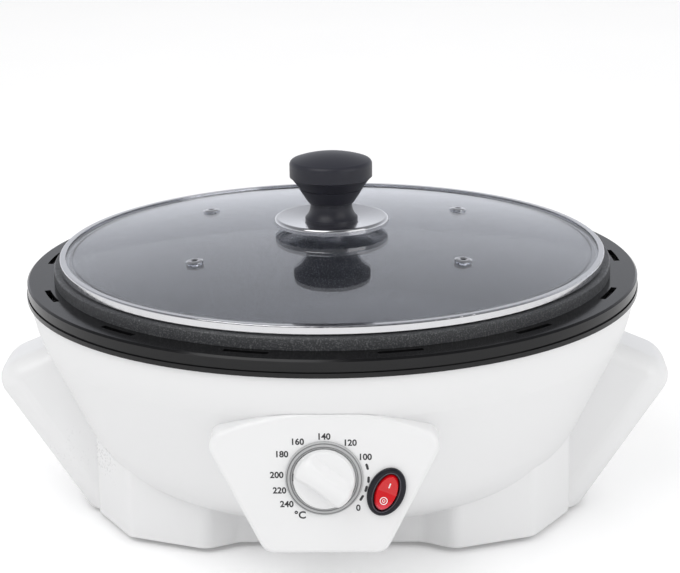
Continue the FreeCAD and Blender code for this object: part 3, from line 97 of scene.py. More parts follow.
# Rocker, in millimetres: the crease is where its two faces meet, and the marks' places are
# measured from it along a face. The bezel's line is an oval of two half widths.
ROCKER_LEAN = math.radians(7)
ROCKER_CREASE = 4.4
ON_MARK_PLACE, ON_MARK_LONG, ON_MARK_WIDE = 3.9, 2.7, 0.6
OFF_MARK_PLACE = 4.2
OFF_MARK_RINGS = ((1.9, 1.5), (0.8, 0.5))
MARK_THICK = 0.05
BEZEL_RISE = 2.98
BEZEL_LINE_LONG, BEZEL_LINE_WIDE, BEZEL_LINE_RADIUS = 10.6, 6.15, 0.22
BEZEL_LINE_POINTS = 72

# Heights over the rocker's pins, in metres, that the painted highlight on its lower end fades
# between
PALE_HIGHLIGHT_LOW, PALE_HIGHLIGHT_HIGH = -0.0092, -0.0035

# Stage: lengths in metres, the strength of the floor's glow, the back light's share of the
# fill light's power, and the camera's roll in radians
FLOOR_HALF = 3.0
FLOOR_GRID = 24
FLOOR_GLOW = 0.19
LAMP_AIM = Vector((0, 0, 0.09))
BACK_SHARE = 0.4
CAMERA_PLACE = (0.0386, -1.1547, 0.4559)
CAMERA_AHEAD = Vector((-0.02868, 0.95965, -0.27972))
CAMERA_ROLL = -0.0137


def colour(name, text, value):
    """A colour property of red, green and blue."""
    return FloatVectorProperty(name=name, description=text, default=value, size=3,
                               subtype="COLOR", min=0.0, max=1.0)


def length(name, text, value):
    """A length property, in metres."""
    return FloatProperty(name=name, description=text, default=value, unit="LENGTH",
                         subtype="DISTANCE")


def amount(name, text, value, high=1.0):
    """A plain number from nought to a highest value."""
    return FloatProperty(name=name, description=text, default=value, min=0.0, max=high)


class RoasterFinishes(bpy.types.PropertyGroup):
    """Colours and sheens that a user of the roaster would change."""
    shell: colour("Shell", "White of the moulded shell and the control panel",
                  (0.88, 0.881, 0.884))
    shell_sheen: amount("Shell Roughness", "Roughness of the shell's gloss", 0.26)
    knob: colour("Knob", "White of the temperature knob", (0.88, 0.882, 0.885))
    trim: colour("Dial Ring", "Grey of the ring round the knob", (0.5, 0.505, 0.51))
    ring: colour("Rim Ring", "Black of the ring round the bowl", (0.004, 0.004, 0.0045))
    coating: colour("Coating", "Dark grey of the bowl's coating", (0.045, 0.046, 0.05))
    handle: colour("Lid Knob", "Black of the lid's knob", (0.022, 0.0225, 0.032))
    rocker: colour("Rocker", "Red of the lit rocker", (0.62, 0.004, 0.008))
    print_ink: colour("Print", "Grey of the dial's figures", (0.03, 0.03, 0.033))


class RoasterPrint(bpy.types.PropertyGroup):
    """Sizes of the dial's print and the marks."""
    figure_size: length("Figure Size", "Height of the type that the figures are set in", 0.0044)
    unit_size: length("Unit Size", "Height of the type that the degree sign and letter are set in",
                      0.0052)
    ink_height: length("Ink Height", "Thickness of the printed ink", 0.00006)
    dash_length: length("Dash Length", "Length of a dash in the off range", 0.0033)
    dash_width: length("Dash Width", "Width of a dash in the off range", 0.0012)


class RoasterView(bpy.types.PropertyGroup):
    """Camera and light."""
    lens: FloatProperty(name="Lens", description="Focal length of the camera", default=116.47,
                        min=10.0, subtype="DISTANCE_CAMERA")
    world_light: amount("World Light", "Strength of the even white light", 0.74, 4.0)
    key_light: FloatProperty(name="Key Light", description="Power of the large light",
                             default=9.9, min=0.0, subtype="POWER")
    fill_light: FloatProperty(name="Fill Light",
                              description="Power of the side light, which sets the back light too",
                              default=4.5, min=0.0, subtype="POWER")


def finishes():
    """The colours and sheens in force."""
    return bpy.context.scene.roaster_finishes


def prints():
    """The sizes of the print in force."""
    return bpy.context.scene.roaster_print


def view():
    """The camera and light in force."""
    return bpy.context.scene.roaster_view


# Node groups that more than one finish uses

def new_group(name, inputs, outputs):
    """An empty shader node group with its sockets."""
    group = bpy.data.node_groups.new(name, "ShaderNodeTree")
    for label, kind, default in inputs:
        socket = group.interface.new_socket(name=label, in_out="INPUT", socket_type=kind)
        socket.default_value = default
    for label, kind in outputs:
        group.interface.new_socket(name=label, in_out="OUTPUT", socket_type=kind)
    enter = group.nodes.new("NodeGroupInput")
    leave = group.nodes.new("NodeGroupOutput")
    return group, enter, leave


def maths(tree, operation, first, second, clamp=False):
    """The result of a math node from two numbers or sockets."""
    node = tree.nodes.new("ShaderNodeMath")
    node.operation = operation
    node.use_clamp = clamp
    for socket, given in zip(node.inputs, (first, second)):
        if isinstance(given, (int, float)):
            socket.default_value = given
        else:
            tree.links.new(given, socket)
    return node.outputs[0]


def blend_colours(tree, factor, first, second):
    """Mixes two colours, or sockets of colours, by a socket of shares."""
    node = tree.nodes.new("ShaderNodeMix")
    node.data_type = "RGBA"
    tree.links.new(factor, node.inputs[0])
    for socket, given in ((node.inputs[6], first), (node.inputs[7], second)):
        if isinstance(given, bpy.types.NodeSocket):
            tree.links.new(given, socket)
        else:
            socket.default_value = (*given, 1.0)
    return node.outputs[2]


def spread(tree, given, low_in, high_in, low_out, high_out):
    """Maps a socket's values from one range to another, clamped at its ends."""
    node = tree.nodes.new("ShaderNodeMapRange")
    tree.links.new(given, node.inputs[0])
    for socket, number in zip(node.inputs[1:5], (low_in, high_in, low_out, high_out)):
        if isinstance(number, bpy.types.NodeSocket):
            tree.links.new(number, socket)
        else:
            socket.default_value = number
    return node.outputs[0]


def object_noise(tree, scale, detail=3.0):
    """Noise in the object's own space, at a number's or a socket's scale."""
    place = tree.nodes.new("ShaderNodeTexCoord").outputs["Object"]
    noise = tree.nodes.new("ShaderNodeTexNoise")
    noise.inputs["Detail"].default_value = detail
    if isinstance(scale, bpy.types.NodeSocket):
        tree.links.new(scale, noise.inputs["Scale"])
    else:
        noise.inputs["Scale"].default_value = scale
    tree.links.new(place, noise.inputs["Vector"])
    return noise.outputs["Fac"]


def moulded_surface():
    """Faint tone and sheen changes of a moulded surface, with a fine skin."""
    group, enter, leave = new_group("Moulded Surface", [
        ("Colour", "NodeSocketColor", (0.8, 0.8, 0.8, 1)),
        ("Shade", "NodeSocketColor", (0.7, 0.7, 0.7, 1)),
        ("Amount", "NodeSocketFloat", 0.3), ("Grain Scale", "NodeSocketFloat", 900.0),
        ("Smooth", "NodeSocketFloat", 0.25), ("Rough", "NodeSocketFloat", 0.35)],
        [("Colour", "NodeSocketColor"), ("Roughness", "NodeSocketFloat"),
         ("Height", "NodeSocketFloat")])
    broad = object_noise(group, 9.0)
    fine = object_noise(group, enter.outputs["Grain Scale"], 2.0)
    patch = spread(group, broad, 0.35, 0.7, 0.0, 1.0)
    shading = maths(group, "MULTIPLY", patch, enter.outputs["Amount"])
    group.links.new(blend_colours(group, shading, enter.outputs["Colour"], enter.outputs["Shade"]),
                    leave.inputs["Colour"])
    mixed = maths(group, "ADD", maths(group, "MULTIPLY", patch, 0.6),
                  maths(group, "MULTIPLY", fine, 0.4))
    sheen = spread(group, mixed, 0.0, 1.0, enter.outputs["Smooth"], enter.outputs["Rough"])
    group.links.new(sheen, leave.inputs["Roughness"])
    group.links.new(fine, leave.inputs["Height"])
    return group


def edge_wear_and_highlight():
    """Mask of a part's edges, from how its surface turns: rubbed wear on the metals, a painted
    highlight on the black plastics.
    """
    group, enter, leave = new_group("Worn Edges", [
        ("Start", "NodeSocketFloat", 0.52), ("End", "NodeSocketFloat", 0.62),
        ("Strength", "NodeSocketFloat", 0.5)], [("Mask", "NodeSocketFloat")])
    turn = group.nodes.new("ShaderNodeNewGeometry").outputs["Pointiness"]
    broken = object_noise(group, 160.0, 4.0)
    mask = spread(group, turn, enter.outputs["Start"], enter.outputs["End"], 0.0, 1.0)
    mask = maths(group, "MULTIPLY", mask, spread(group, broken, 0.35, 0.6, 0.3, 1.0), clamp=True)
    group.links.new(maths(group, "MULTIPLY", mask, enter.outputs["Strength"]),
                    leave.inputs["Mask"])
    return group


def blasted_surface():
    """Sand-blasted skin: close speckles with bright grains."""
    group, enter, leave = new_group("Blasted Surface", [
        ("Colour", "NodeSocketColor", (0.03, 0.03, 0.03, 1)),
        ("Grain", "NodeSocketColor", (0.1, 0.1, 0.1, 1)),
        ("Scale", "NodeSocketFloat", 1400.0)],
        [("Colour", "NodeSocketColor"), ("Roughness", "NodeSocketFloat"),
         ("Height", "NodeSocketFloat")])
    speck = object_noise(group, enter.outputs["Scale"], 2.0)
    coarse = object_noise(group, 420.0)
    grain = spread(group, speck, 0.5, 0.72, 0.0, 1.0)
    group.links.new(blend_colours(group, grain, enter.outputs["Colour"], enter.outputs["Grain"]),
                    leave.inputs["Colour"])
    group.links.new(spread(group, coarse, 0.3, 0.7, 0.34, 0.52), leave.inputs["Roughness"])
    group.links.new(maths(group, "ADD", speck, maths(group, "MULTIPLY", coarse, 0.6)),
                    leave.inputs["Height"])
    return group


def turned_lines():
    """Fine rings round the upright axis, as a lathe leaves them."""
    group, enter, leave = new_group("Turned Lines", [
        ("Pitch", "NodeSocketFloat", 900.0), ("Smooth", "NodeSocketFloat", 0.1),
        ("Rough", "NodeSocketFloat", 0.3)],
        [("Roughness", "NodeSocketFloat"), ("Height", "NodeSocketFloat")])
    place = group.nodes.new("ShaderNodeTexCoord").outputs["Object"]
    wave = group.nodes.new("ShaderNodeTexWave")
    wave.wave_type = "RINGS"
    wave.rings_direction = "Z"
    wave.inputs["Distortion"].default_value = 0.4
    wave.inputs["Detail"].default_value = 2.0
    group.links.new(enter.outputs["Pitch"], wave.inputs["Scale"])
    group.links.new(place, wave.inputs["Vector"])
    group.links.new(spread(group, wave.outputs["Fac"], 0.0, 1.0, enter.outputs["Smooth"],
                           enter.outputs["Rough"]), leave.inputs["Roughness"])
    group.links.new(wave.outputs["Fac"], leave.inputs["Height"])
    return group


EFFECTS = {"Moulded Surface": moulded_surface, "Worn Edges": edge_wear_and_highlight,
           "Blasted Surface": blasted_surface, "Turned Lines": turned_lines}
GROUPS = {}


def place_effect(tree, name, **values):
    """Places an effect, built once, in a material with that material's own values."""
    if name not in GROUPS:
        GROUPS[name] = EFFECTS[name]()
    node = tree.nodes.new("ShaderNodeGroup")
    node.node_tree = GROUPS[name]
    for label, value in values.items():
        socket = node.inputs[label.replace("_", " ")]
        socket.default_value = (*value, 1.0) if isinstance(value, tuple) else value
    return node


def new_finish(name, **plain):
    """A material with its Principled shader and any plain values set on it."""
    material = bpy.data.materials.new(name)
    material.use_nodes = True
    shader = material.node_tree.nodes["Principled BSDF"]
    for label, value in plain.items():
        shader.inputs[label.replace("_", " ")].default_value = value
    return material, material.node_tree, shader


def bump(tree, shader, height, strength, distance):
    """Raises the surface by a socket's height, over a distance in metres."""
    node = tree.nodes.new("ShaderNodeBump")
    node.inputs["Strength"].default_value = strength
    node.inputs["Distance"].default_value = distance
    tree.links.new(height, node.inputs["Height"])
    tree.links.new(node.outputs["Normal"], shader.inputs["Normal"])


def shaded(tone, share):
    """A tone made darker or lighter by a share."""
    return tuple(part * share for part in tone)


def moulded(name, tone, smooth, rough, grain=900.0, depth=0.00002, patches=0.35, shade=0.9,
            edge_highlight=0.0, edge_highlight_tone=(0.5, 0.5, 0.5), **plain):
    """A moulded plastic: its tone, its sheen from smooth to rough, its grain and its patches."""
    material, tree, shader = new_finish(name, **plain)
    skin = place_effect(tree, "Moulded Surface", Colour=tone, Shade=shaded(tone, shade),
                        Amount=patches, Grain_Scale=grain, Smooth=smooth, Rough=rough)
    out = skin.outputs["Colour"]
    # Painted highlight: the edges are made lighter towards the highlight tone.
    if edge_highlight:
        edges = place_effect(tree, "Worn Edges", Strength=edge_highlight)
        out = blend_colours(tree, edges.outputs["Mask"], out, edge_highlight_tone)
    tree.links.new(out, shader.inputs["Base Color"])
    tree.links.new(skin.outputs["Roughness"], shader.inputs["Roughness"])
    bump(tree, shader, skin.outputs["Height"], 0.25, depth)
    return material


def shell_plastic():
    """Glossy white plastic of the shell and the control panel."""
    sheen = finishes().shell_sheen
    return moulded("glossy_white_shell", tuple(finishes().shell), sheen, sheen + 0.08,
                   grain=700.0, depth=0.00001, patches=0.25, shade=0.96,
                   Coat_Weight=0.25, Coat_Roughness=0.12)


def knob_plastic():
    """Satin white plastic of the temperature knob."""
    return moulded("white_knob_plastic", tuple(finishes().knob), 0.3, 0.4, grain=1200.0,
                   shade=0.96)


def trim_plastic():
    """Grey plastic of the ring round the knob."""
    return moulded("grey_trim_plastic", tuple(finishes().trim), 0.3, 0.42, grain=1600.0)


def ring_plastic():
    """Glossy black plastic of the rim ring, with its edges painted lighter as a highlight."""
    # Painted highlight: lighter grey on the ring's edges.
    return moulded("black_rim_ring", tuple(finishes().ring), 0.12, 0.2, grain=800.0,
                   depth=0.00001, patches=0.6, shade=1.6, edge_highlight=0.2,
                   edge_highlight_tone=(0.03, 0.03, 0.03), Specular_IOR_Level=0.38)


def handle_plastic():
    """Grained black plastic of the lid's knob, with its edges painted lighter as a sheen
    highlight.
    """
    # Painted highlight: lighter bluish grey on the knob's edges.
    return moulded("black_lid_knob", tuple(finishes().handle), 0.36, 0.46, grain=2200.0,
                   depth=0.00003, patches=0.5, shade=1.7, edge_highlight=0.3,
                   edge_highlight_tone=(0.05, 0.05, 0.06))


def switch_plastic():
    """Black plastic of the switch's bezel and housing, and of the cord's gland."""
    return moulded("black_switch_plastic", (0.006, 0.006, 0.011), 0.3, 0.42, grain=2400.0,
                   shade=1.5, Specular_IOR_Level=0.35)


def plate_plastic():
    """Textured pale plastic of the base plate."""
    return moulded("base_plate_plastic", (0.6, 0.6, 0.61), 0.45, 0.6, grain=500.0,
                   depth=0.00008, shade=0.85)


def foot_rubber():
    """Matt black rubber of the feet."""
    return moulded("black_rubber", (0.02, 0.02, 0.021), 0.7, 0.85, grain=1500.0,
                   depth=0.00008, shade=1.6)


def case_plastic():
    """Brown plastic of the thermostat's case and the terminal block."""
    return moulded("brown_case_plastic", (0.09, 0.05, 0.03), 0.4, 0.55, grain=1200.0, shade=0.7)


def bowl_coating():
    """Blasted dark coating of the roasting bowl."""
    material, tree, shader = new_finish("dark_bowl_coating")
    skin = place_effect(tree, "Blasted Surface", Colour=tuple(finishes().coating),
                        Grain=(0.16, 0.165, 0.17), Scale=1500.0)
    tree.links.new(skin.outputs["Colour"], shader.inputs["Base Color"])
    tree.links.new(skin.outputs["Roughness"], shader.inputs["Roughness"])
    bump(tree, shader, skin.outputs["Height"], 0.35, 0.00006)
    return material


def lid_glass():
    """Clear tempered glass with a faint smoke tint and light smears."""
    material, tree, shader = new_finish(
        "clear_lid_glass", Metallic=0.0, Transmission_Weight=1.0, IOR=1.5,
        Base_Color=(0.9, 0.92, 0.97, 1.0))
    smear = object_noise(tree, 22.0, 4.0)
    tree.links.new(spread(tree, smear, 0.35, 0.75, 0.0, 0.025), shader.inputs["Roughness"])
    return material


def polished_steel():
    """Bright steel of the lid's rim, disc and vents, with fine turned lines."""
    material, tree, shader = new_finish("polished_steel", Metallic=1.0)
    lines = place_effect(tree, "Turned Lines", Pitch=1800.0, Smooth=0.07, Rough=0.16)
    cloud = object_noise(tree, 60.0)
    tree.links.new(blend_colours(tree, cloud, (0.72, 0.72, 0.74), (0.8, 0.8, 0.81)),
                   shader.inputs["Base Color"])
    tree.links.new(lines.outputs["Roughness"], shader.inputs["Roughness"])
    bump(tree, shader, lines.outputs["Height"], 0.1, 0.00001)
    return material


def metal(name, light, dark, smooth, rough, scale=240.0):
    """A metal of clouded tone, with a sheen from smooth to rough and bright edges."""
    material, tree, shader = new_finish(name, Metallic=1.0)
    cloud = object_noise(tree, scale, 4.0)
    edges = place_effect(tree, "Worn Edges", Strength=0.6)
    tone = blend_colours(tree, spread(tree, cloud, 0.3, 0.7, 0.0, 1.0), light, dark)
    bright = shaded(light, 1.2)
    tree.links.new(blend_colours(tree, edges.outputs["Mask"], tone, bright),
                   shader.inputs["Base Color"])
    tree.links.new(spread(tree, cloud, 0.25, 0.75, smooth, rough), shader.inputs["Roughness"])
    bump(tree, shader, object_noise(tree, scale * 8, 2.0), 0.2, 0.00002)
    return material


def red_rocker():
    """Translucent red plastic that glows faintly, painted paler towards its lower end as a
    highlight.
    """
    material, tree, shader = new_finish("red_rocker_plastic", Coat_Weight=0.4, Coat_Roughness=0.1,
                                        Emission_Strength=0.06)
    place = tree.nodes.new("ShaderNodeTexCoord").outputs["Object"]
    parts = tree.nodes.new("ShaderNodeSeparateXYZ")
    tree.links.new(place, parts.inputs[0])
    pins = ROCKER["pos_m"][2]
    # Painted highlight: the rocker's lower end is made paler and pinker.
    pale_highlight = spread(tree, parts.outputs["Z"], pins + PALE_HIGHLIGHT_LOW, pins + PALE_HIGHLIGHT_HIGH, 1.0, 0.0)
    tone = blend_colours(tree, pale_highlight, tuple(finishes().rocker), (0.8, 0.12, 0.17))
    cloud = object_noise(tree, 500.0, 2.0)
    deeper = maths(tree, "MULTIPLY", cloud, 0.15)
    tree.links.new(blend_colours(tree, deeper, tone, (0.45, 0.0, 0.005)),
                   shader.inputs["Base Color"])
    tree.links.new(tone, shader.inputs["Emission Color"])
    tree.links.new(spread(tree, cloud, 0.3, 0.7, 0.14, 0.24), shader.inputs["Roughness"])
    return material


def ink_and_painted_shade(name, tone):
    """Printed ink with slightly uneven cover; also the painted shade in the dial ring's grooves.
    """
    return moulded(name, tone, 0.4, 0.6, grain=3000.0, depth=0.00001, patches=0.6, shade=1.35)


def zinc_steel():
    """Zinc-plated steel of the screws, clamps and motor."""
    return metal("zinc_steel", (0.62, 0.63, 0.66), (0.42, 0.43, 0.46), 0.25, 0.42)


def shield_sheet():
    """Aluminised sheet of the heat shield."""
    return metal("aluminised_sheet", (0.7, 0.7, 0.72), (0.55, 0.55, 0.57), 0.3, 0.45, 60.0)


def stirrer_metal():
    """Cast metal of the stirrer's hub, arms and blades."""
    return metal("cast_stirrer_metal", (0.5, 0.5, 0.52), (0.34, 0.34, 0.36), 0.32, 0.5, 300.0)


def plain_brass():
    """Brass of the bush, the sensor and the contacts."""
    return metal("plain_brass", (0.75, 0.55, 0.22), (0.55, 0.38, 0.15), 0.25, 0.4)


FINISHES = {
    "white_shell": shell_plastic, "white_knob": knob_plastic, "grey_trim": trim_plastic,
    "black_ring": ring_plastic, "black_handle": handle_plastic, "black_switch": switch_plastic,
    "grey_plate": plate_plastic, "rubber": foot_rubber, "brown_case": case_plastic,
    "nonstick": bowl_coating, "glass": lid_glass, "polished_steel": polished_steel,
    "red_rocker": red_rocker, "zinc_steel": zinc_steel, "shield_sheet": shield_sheet,
    "stirrer_metal": stirrer_metal, "brass": plain_brass,
}
MADE = {}


def finish(slot):
    """The material of one of the record's slots, made once."""
    if slot not in MADE:
        MADE[slot] = FINISHES[slot]()
    return MADE[slot]


def dress(nodes):
    """Gives each node its slot's material."""
    slots = {part["node"]: part["material_slot"] for part in frame["record"]["subparts"]}
    for node in nodes:
        thing = bpy.data.objects.get(node)
        if thing is None:
            raise RuntimeError(f"no object for {node}")
        thing.data.materials.clear()
        thing.data.materials.append(finish(slots[node]))


def nodes_with(*starts):
    """The CAD nodes whose names start in one of the given ways."""
    names = [part["node"] for part in frame["record"]["subparts"]]
    return [name for name in names if name.startswith(starts)]


# Mesh work

def mesh_piece(name, work, slot, body, smooth=True):
    """A new object from bmesh work, dressed and riding on its body."""
    mesh = bpy.data.meshes.new(name)
    bmesh.ops.recalc_face_normals(work, faces=work.faces[:])
    work.to_mesh(mesh)
    work.free()
    if smooth:
        mesh.shade_smooth()
    thing = bpy.data.objects.new(name, mesh)
    bpy.context.scene.collection.objects.link(thing)
    mesh.materials.append(finish(slot) if isinstance(slot, str) else slot)
    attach(thing, body)
    return thing


def dial_place(across, up, out=0.0):
    """A point of the panel's face, given in millimetres from the dial's centre."""
    return Vector((DIAL[0] + across * MM, DIAL[1] - out, DIAL[2] + up * MM))


def turns(steps):
    """The angles of a full turn's even steps."""
    return [2 * math.pi * step / steps for step in range(steps)]


def loft(work, loops, closed):
    """Joins loops of corners, and the last to the first where it is closed."""
    for first, second in zip(loops, loops[1:] + loops[:1] if closed else loops[1:]):
        for index in range(len(first)):
            after = (index + 1) % len(first)
            work.faces.new((first[index], first[after], second[after], second[index]))


def bar(work, centre, along, across, out, long, wide, thick, steps=8):
    """A bar with rounded ends on a face: centre, directions and sizes."""
    rim = []
    for end in (1, -1):
        for step in range(steps + 1):
            turn = math.pi * step / steps - math.pi / 2
            reach = end * ((long - wide) / 2 + math.cos(turn) * wide / 2)
            rim.append(centre + along * reach + across * (end * math.sin(turn) * wide / 2))
    low = [work.verts.new(point - out * thick) for point in rim]
    high = [work.verts.new(point + out * thick) for point in rim]
    work.faces.new(low[::-1])
    work.faces.new(high)
    loft(work, [low, high], False)


def ring(work, centre, along, across, out, outer, inner, thick, steps=40):
    """A flat ring on a face."""
    loops = []
    for radius, lift in ((outer, -thick), (outer, thick), (inner, thick), (inner, -thick)):
        loops.append([work.verts.new(centre + along * math.cos(turn) * radius
                                     + across * math.sin(turn) * radius + out * lift)
                      for turn in turns(steps)])
    loft(work, loops, True)


def bead(work, points, radius, steps=10):
    """A round bead along a closed line of points."""
    loops = []
    side = None
    for index, point in enumerate(points):
        ahead = (points[(index + 1) % len(points)] - points[index - 1]).normalized()
        side = ahead.orthogonal() if side is None else side - ahead * side.dot(ahead)
        side.normalize()
        lift = ahead.cross(side)
        loops.append([work.verts.new(point + (side * math.cos(turn)
                                              + lift * math.sin(turn)) * radius)
                      for turn in turns(steps)])
    loft(work, loops, True)


def lathe(work, outline, centre, axis, start, steps):
    """Turns a closed outline of (radius, height) round an axis from a start direction."""
    side = axis.cross(start).normalized()
    loops = []
    for radius, height in outline:
        loops.append([work.verts.new(centre + axis * height
                                     + (start * math.cos(turn) + side * math.sin(turn)) * radius)
                      for turn in turns(steps)])
    loft(work, loops, True)


def figures(work, text, size, centre):
    """Adds a printed figure, centred on its place on the panel."""
    curve = bpy.data.curves.new("figure", "FONT")
    curve.body = text
    curve.size = size
    curve.extrude = prints().ink_height
    curve.resolution_u = 4
    curve.offset = size * STROKE_GROWTH
    holder = bpy.data.objects.new("figure", curve)
    bpy.context.scene.collection.objects.link(holder)
    bpy.context.view_layer.update()
    graph = bpy.context.evaluated_depsgraph_get()
    mesh = bpy.data.meshes.new_from_object(holder.evaluated_get(graph))
    bpy.data.objects.remove(holder)
    low = [min(vert.co[k] for vert in mesh.vertices) for k in (0, 1)]
    high = [max(vert.co[k] for vert in mesh.vertices) for k in (0, 1)]
    middle = Vector(((low[0] + high[0]) / 2, (low[1] + high[1]) / 2, 0))
    mesh.transform(Matrix.Translation(centre) @ Matrix.Rotation(math.pi / 2, 4, "X")
                   @ Matrix.Translation(-middle))
    work.from_mesh(mesh)
    bpy.data.meshes.remove(mesh)


# One operator for each piece or group of pieces

class ROASTER_OT_shell(bpy.types.Operator):
    """White shell with its ears and lobed base."""
    bl_idname = "roaster.shell"
    bl_label = "Shell"
    bl_options = {"REGISTER", "UNDO"}

    def execute(self, context):
        dress(["outer_shell"])
        return {"FINISHED"}


class ROASTER_OT_rim(bpy.types.Operator):
    """Black rim ring with its air slots and screws."""
    bl_idname = "roaster.rim"
    bl_label = "Rim Ring"
    bl_options = {"REGISTER", "UNDO"}

    def execute(self, context):
        dress(["rim_ring", "ring_screws"])
        return {"FINISHED"}


class ROASTER_OT_panel(bpy.types.Operator):
    """Control panel with the printed dial scale and its grey ring."""
    bl_idname = "roaster.panel"
    bl_label = "Control Panel"
    bl_options = {"REGISTER", "UNDO"}

    def execute(self, context):
        dress(["control_panel"])
        self.add_dial_ring()
        self.print_dial()
        return {"FINISHED"}

    def print_dial(self):
        """Figures, unit and dashes of the dial's scale."""
        size = prints()
        work = bmesh.new()
        for text, across, up in DIAL_FIGURES:
            figures(work, text, size.figure_size, dial_place(across, up))
        text, across, up = DIAL_UNIT
        figures(work, text, size.unit_size, dial_place(across, up))
        for across, up in DIAL_DASHES:
            away = Vector((across, 0, up)).normalized()
            along = Vector((-away.z, 0, away.x))
            bar(work, dial_place(across, up), along, away, OUTWARD, size.dash_length,
                size.dash_width, size.ink_height)
        grey = ink_and_painted_shade("grey_dial_ink", tuple(finishes().print_ink))
        mesh_piece("dial_print", work, grey, "housing", False)

    def add_dial_ring(self):
        """Grey ring with a groove near each of its edges, the groove painted darker as shade."""
        work = bmesh.new()
        outline = [(radius * MM, height * MM) for radius, height in DIAL_RING_OUTLINE]
        lathe(work, outline, Vector(DIAL), OUTWARD, Vector((1, 0, 0)), DIAL_RING_STEPS)
        thing = mesh_piece("grooved_dial_ring", work, "grey_trim", "housing")
        # Painted shade: the faces inside the grooves take a darker grey.
        thing.data.materials.append(ink_and_painted_shade("dark_groove", (0.28, 0.28, 0.285)))
        for face in thing.data.polygons:
            away = math.hypot(face.center.x - DIAL[0], face.center.z - DIAL[2]) / MM
            if any(low < away < high for low, high in DIAL_RING_GROOVES):
                face.material_index = 1
        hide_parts("dial_ring")


class ROASTER_OT_knob(bpy.types.Operator):
    """White temperature knob with its grip, pointer mark and spindle."""
    bl_idname = "roaster.knob"
    bl_label = "Temperature Knob"
    bl_options = {"REGISTER", "UNDO"}

    def execute(self, context):
        dress(["thermostat_spindle"])
        self.sculpt()
        self.mark()
        return {"FINISHED"}

    def sculpt(self):
        """The knob, ring by ring: its top from the middle out, then its side and its bore."""
        work = bmesh.new()
        loops = [[self.corner(work, radius, turn, self.height(radius, turn))
                  for turn in turns(KNOB_STEPS)] for radius in KNOB_TOP_RINGS]
        for radius, share, low in KNOB_SIDE_RINGS:
            loops.append([self.corner(work, radius, turn,
                                      low + (self.height(KNOB_TOP_RADIUS, turn) - low) * share)
                          for turn in turns(KNOB_STEPS)])
        loft(work, loops, False)
        work.faces.new(loops[0])
        work.faces.new(loops[-1][::-1])
        knob = mesh_piece("sculpted_temperature_knob", work, "white_knob", "knob")
        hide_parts("temperature_knob")

    def mark(self):
        """Dark dash on the skirt that points to the scale."""
        work = bmesh.new()
        away = Vector((math.cos(POINTER_TURN), 0, math.sin(POINTER_TURN)))
        place = Vector(DIAL) + away * POINTER_RADIUS * MM + OUTWARD * POINTER_HEIGHT * MM
        bar(work, place, Vector((-away.z, 0, away.x)), away, OUTWARD, POINTER_LONG * MM,
            POINTER_WIDE * MM, POINTER_THICK * MM)
        dark = ink_and_painted_shade("dark_pointer_ink", (0.02, 0.02, 0.022))
        mesh_piece("knob_pointer_mark", work, dark, "knob", False)

    def corner(self, work, radius, turn, height):
        """A corner of the knob, from its place on a ring and its height, in millimetres."""
        return work.verts.new(dial_place(radius * math.cos(turn), radius * math.sin(turn),
                                         height * MM))

    def height(self, radius, turn):
        """Height of the knob's top: a domed skirt with a waisted grip across it."""
        along = radius * math.cos(turn - KNOB_LEAN)
        across = radius * math.sin(turn - KNOB_LEAN)
        skirt = SKIRT_HEIGHT + SKIRT_DOME * (1 - (radius / SKIRT_RADIUS) ** 2)
        crest = GRIP_HEIGHT - GRIP_FALL * (along / GRIP_REACH) ** 2 - GRIP_ROUND * across ** 2
        half = GRIP_HALF_WAIST + GRIP_FLARE * (abs(along) / GRIP_REACH) ** 2
        slope = min(1.0, max(0.0, (abs(across) - half) / GRIP_FLANK))
        slope = slope * slope * (3 - 2 * slope)
        fade = min(1.0, max(0.0, (radius - GRIP_END_START) / GRIP_END_RUN))
        crest -= GRIP_END_DROP * fade * fade
        return crest + (skirt - crest) * slope


class ROASTER_OT_switch(bpy.types.Operator):
    """Oval rocker switch with its marks."""
    bl_idname = "roaster.switch"
    bl_label = "Rocker Switch"
    bl_options = {"REGISTER", "UNDO"}

    def execute(self, context):
        dress(nodes_with("switch_"))
        pins = Vector(ROCKER["pos_m"])
        across = Vector(ROCKER["axis"]).normalized()
        along = OUTWARD.cross(across)
        self.mark_rocker(pins, along, across)
        self.line_bezel(pins + OUTWARD * BEZEL_RISE * MM, along, across)
        return {"FINISHED"}

    def mark_rocker(self, pins, along, across):
        """The on dash on the upper face and the off rings on the lower one."""
        crease = pins + (along * math.sin(ROCKER_LEAN)
                         + OUTWARD * math.cos(ROCKER_LEAN)) * ROCKER_CREASE * MM
        white = ink_and_painted_shade("white_mark_ink", (0.85, 0.83, 0.83))
        work = bmesh.new()
        bar(work, crease + along * ON_MARK_PLACE * MM, along, across, OUTWARD,
            ON_MARK_LONG * MM, ON_MARK_WIDE * MM, MARK_THICK * MM)
        low = -along * math.cos(2 * ROCKER_LEAN) + OUTWARD * math.sin(2 * ROCKER_LEAN)
        face = along * math.sin(2 * ROCKER_LEAN) + OUTWARD * math.cos(2 * ROCKER_LEAN)
        for outer, inner in OFF_MARK_RINGS:
            ring(work, crease + low * OFF_MARK_PLACE * MM, low, across, face,
                 outer * MM, inner * MM, MARK_THICK * MM)
        mesh_piece("rocker_marks", work, white, "rocker", False)

    def line_bezel(self, centre, along, across):
        """Grey line round the oval bezel."""
        work = bmesh.new()
        points = [centre + along * math.cos(turn) * BEZEL_LINE_LONG * MM
                  + across * math.sin(turn) * BEZEL_LINE_WIDE * MM
                  for turn in turns(BEZEL_LINE_POINTS)]
        bead(work, points, BEZEL_LINE_RADIUS * MM)
        line = moulded("grey_bezel_line", (0.09, 0.09, 0.11), 0.3, 0.4, grain=2400.0)
        mesh_piece("bezel_line", work, line, "housing")


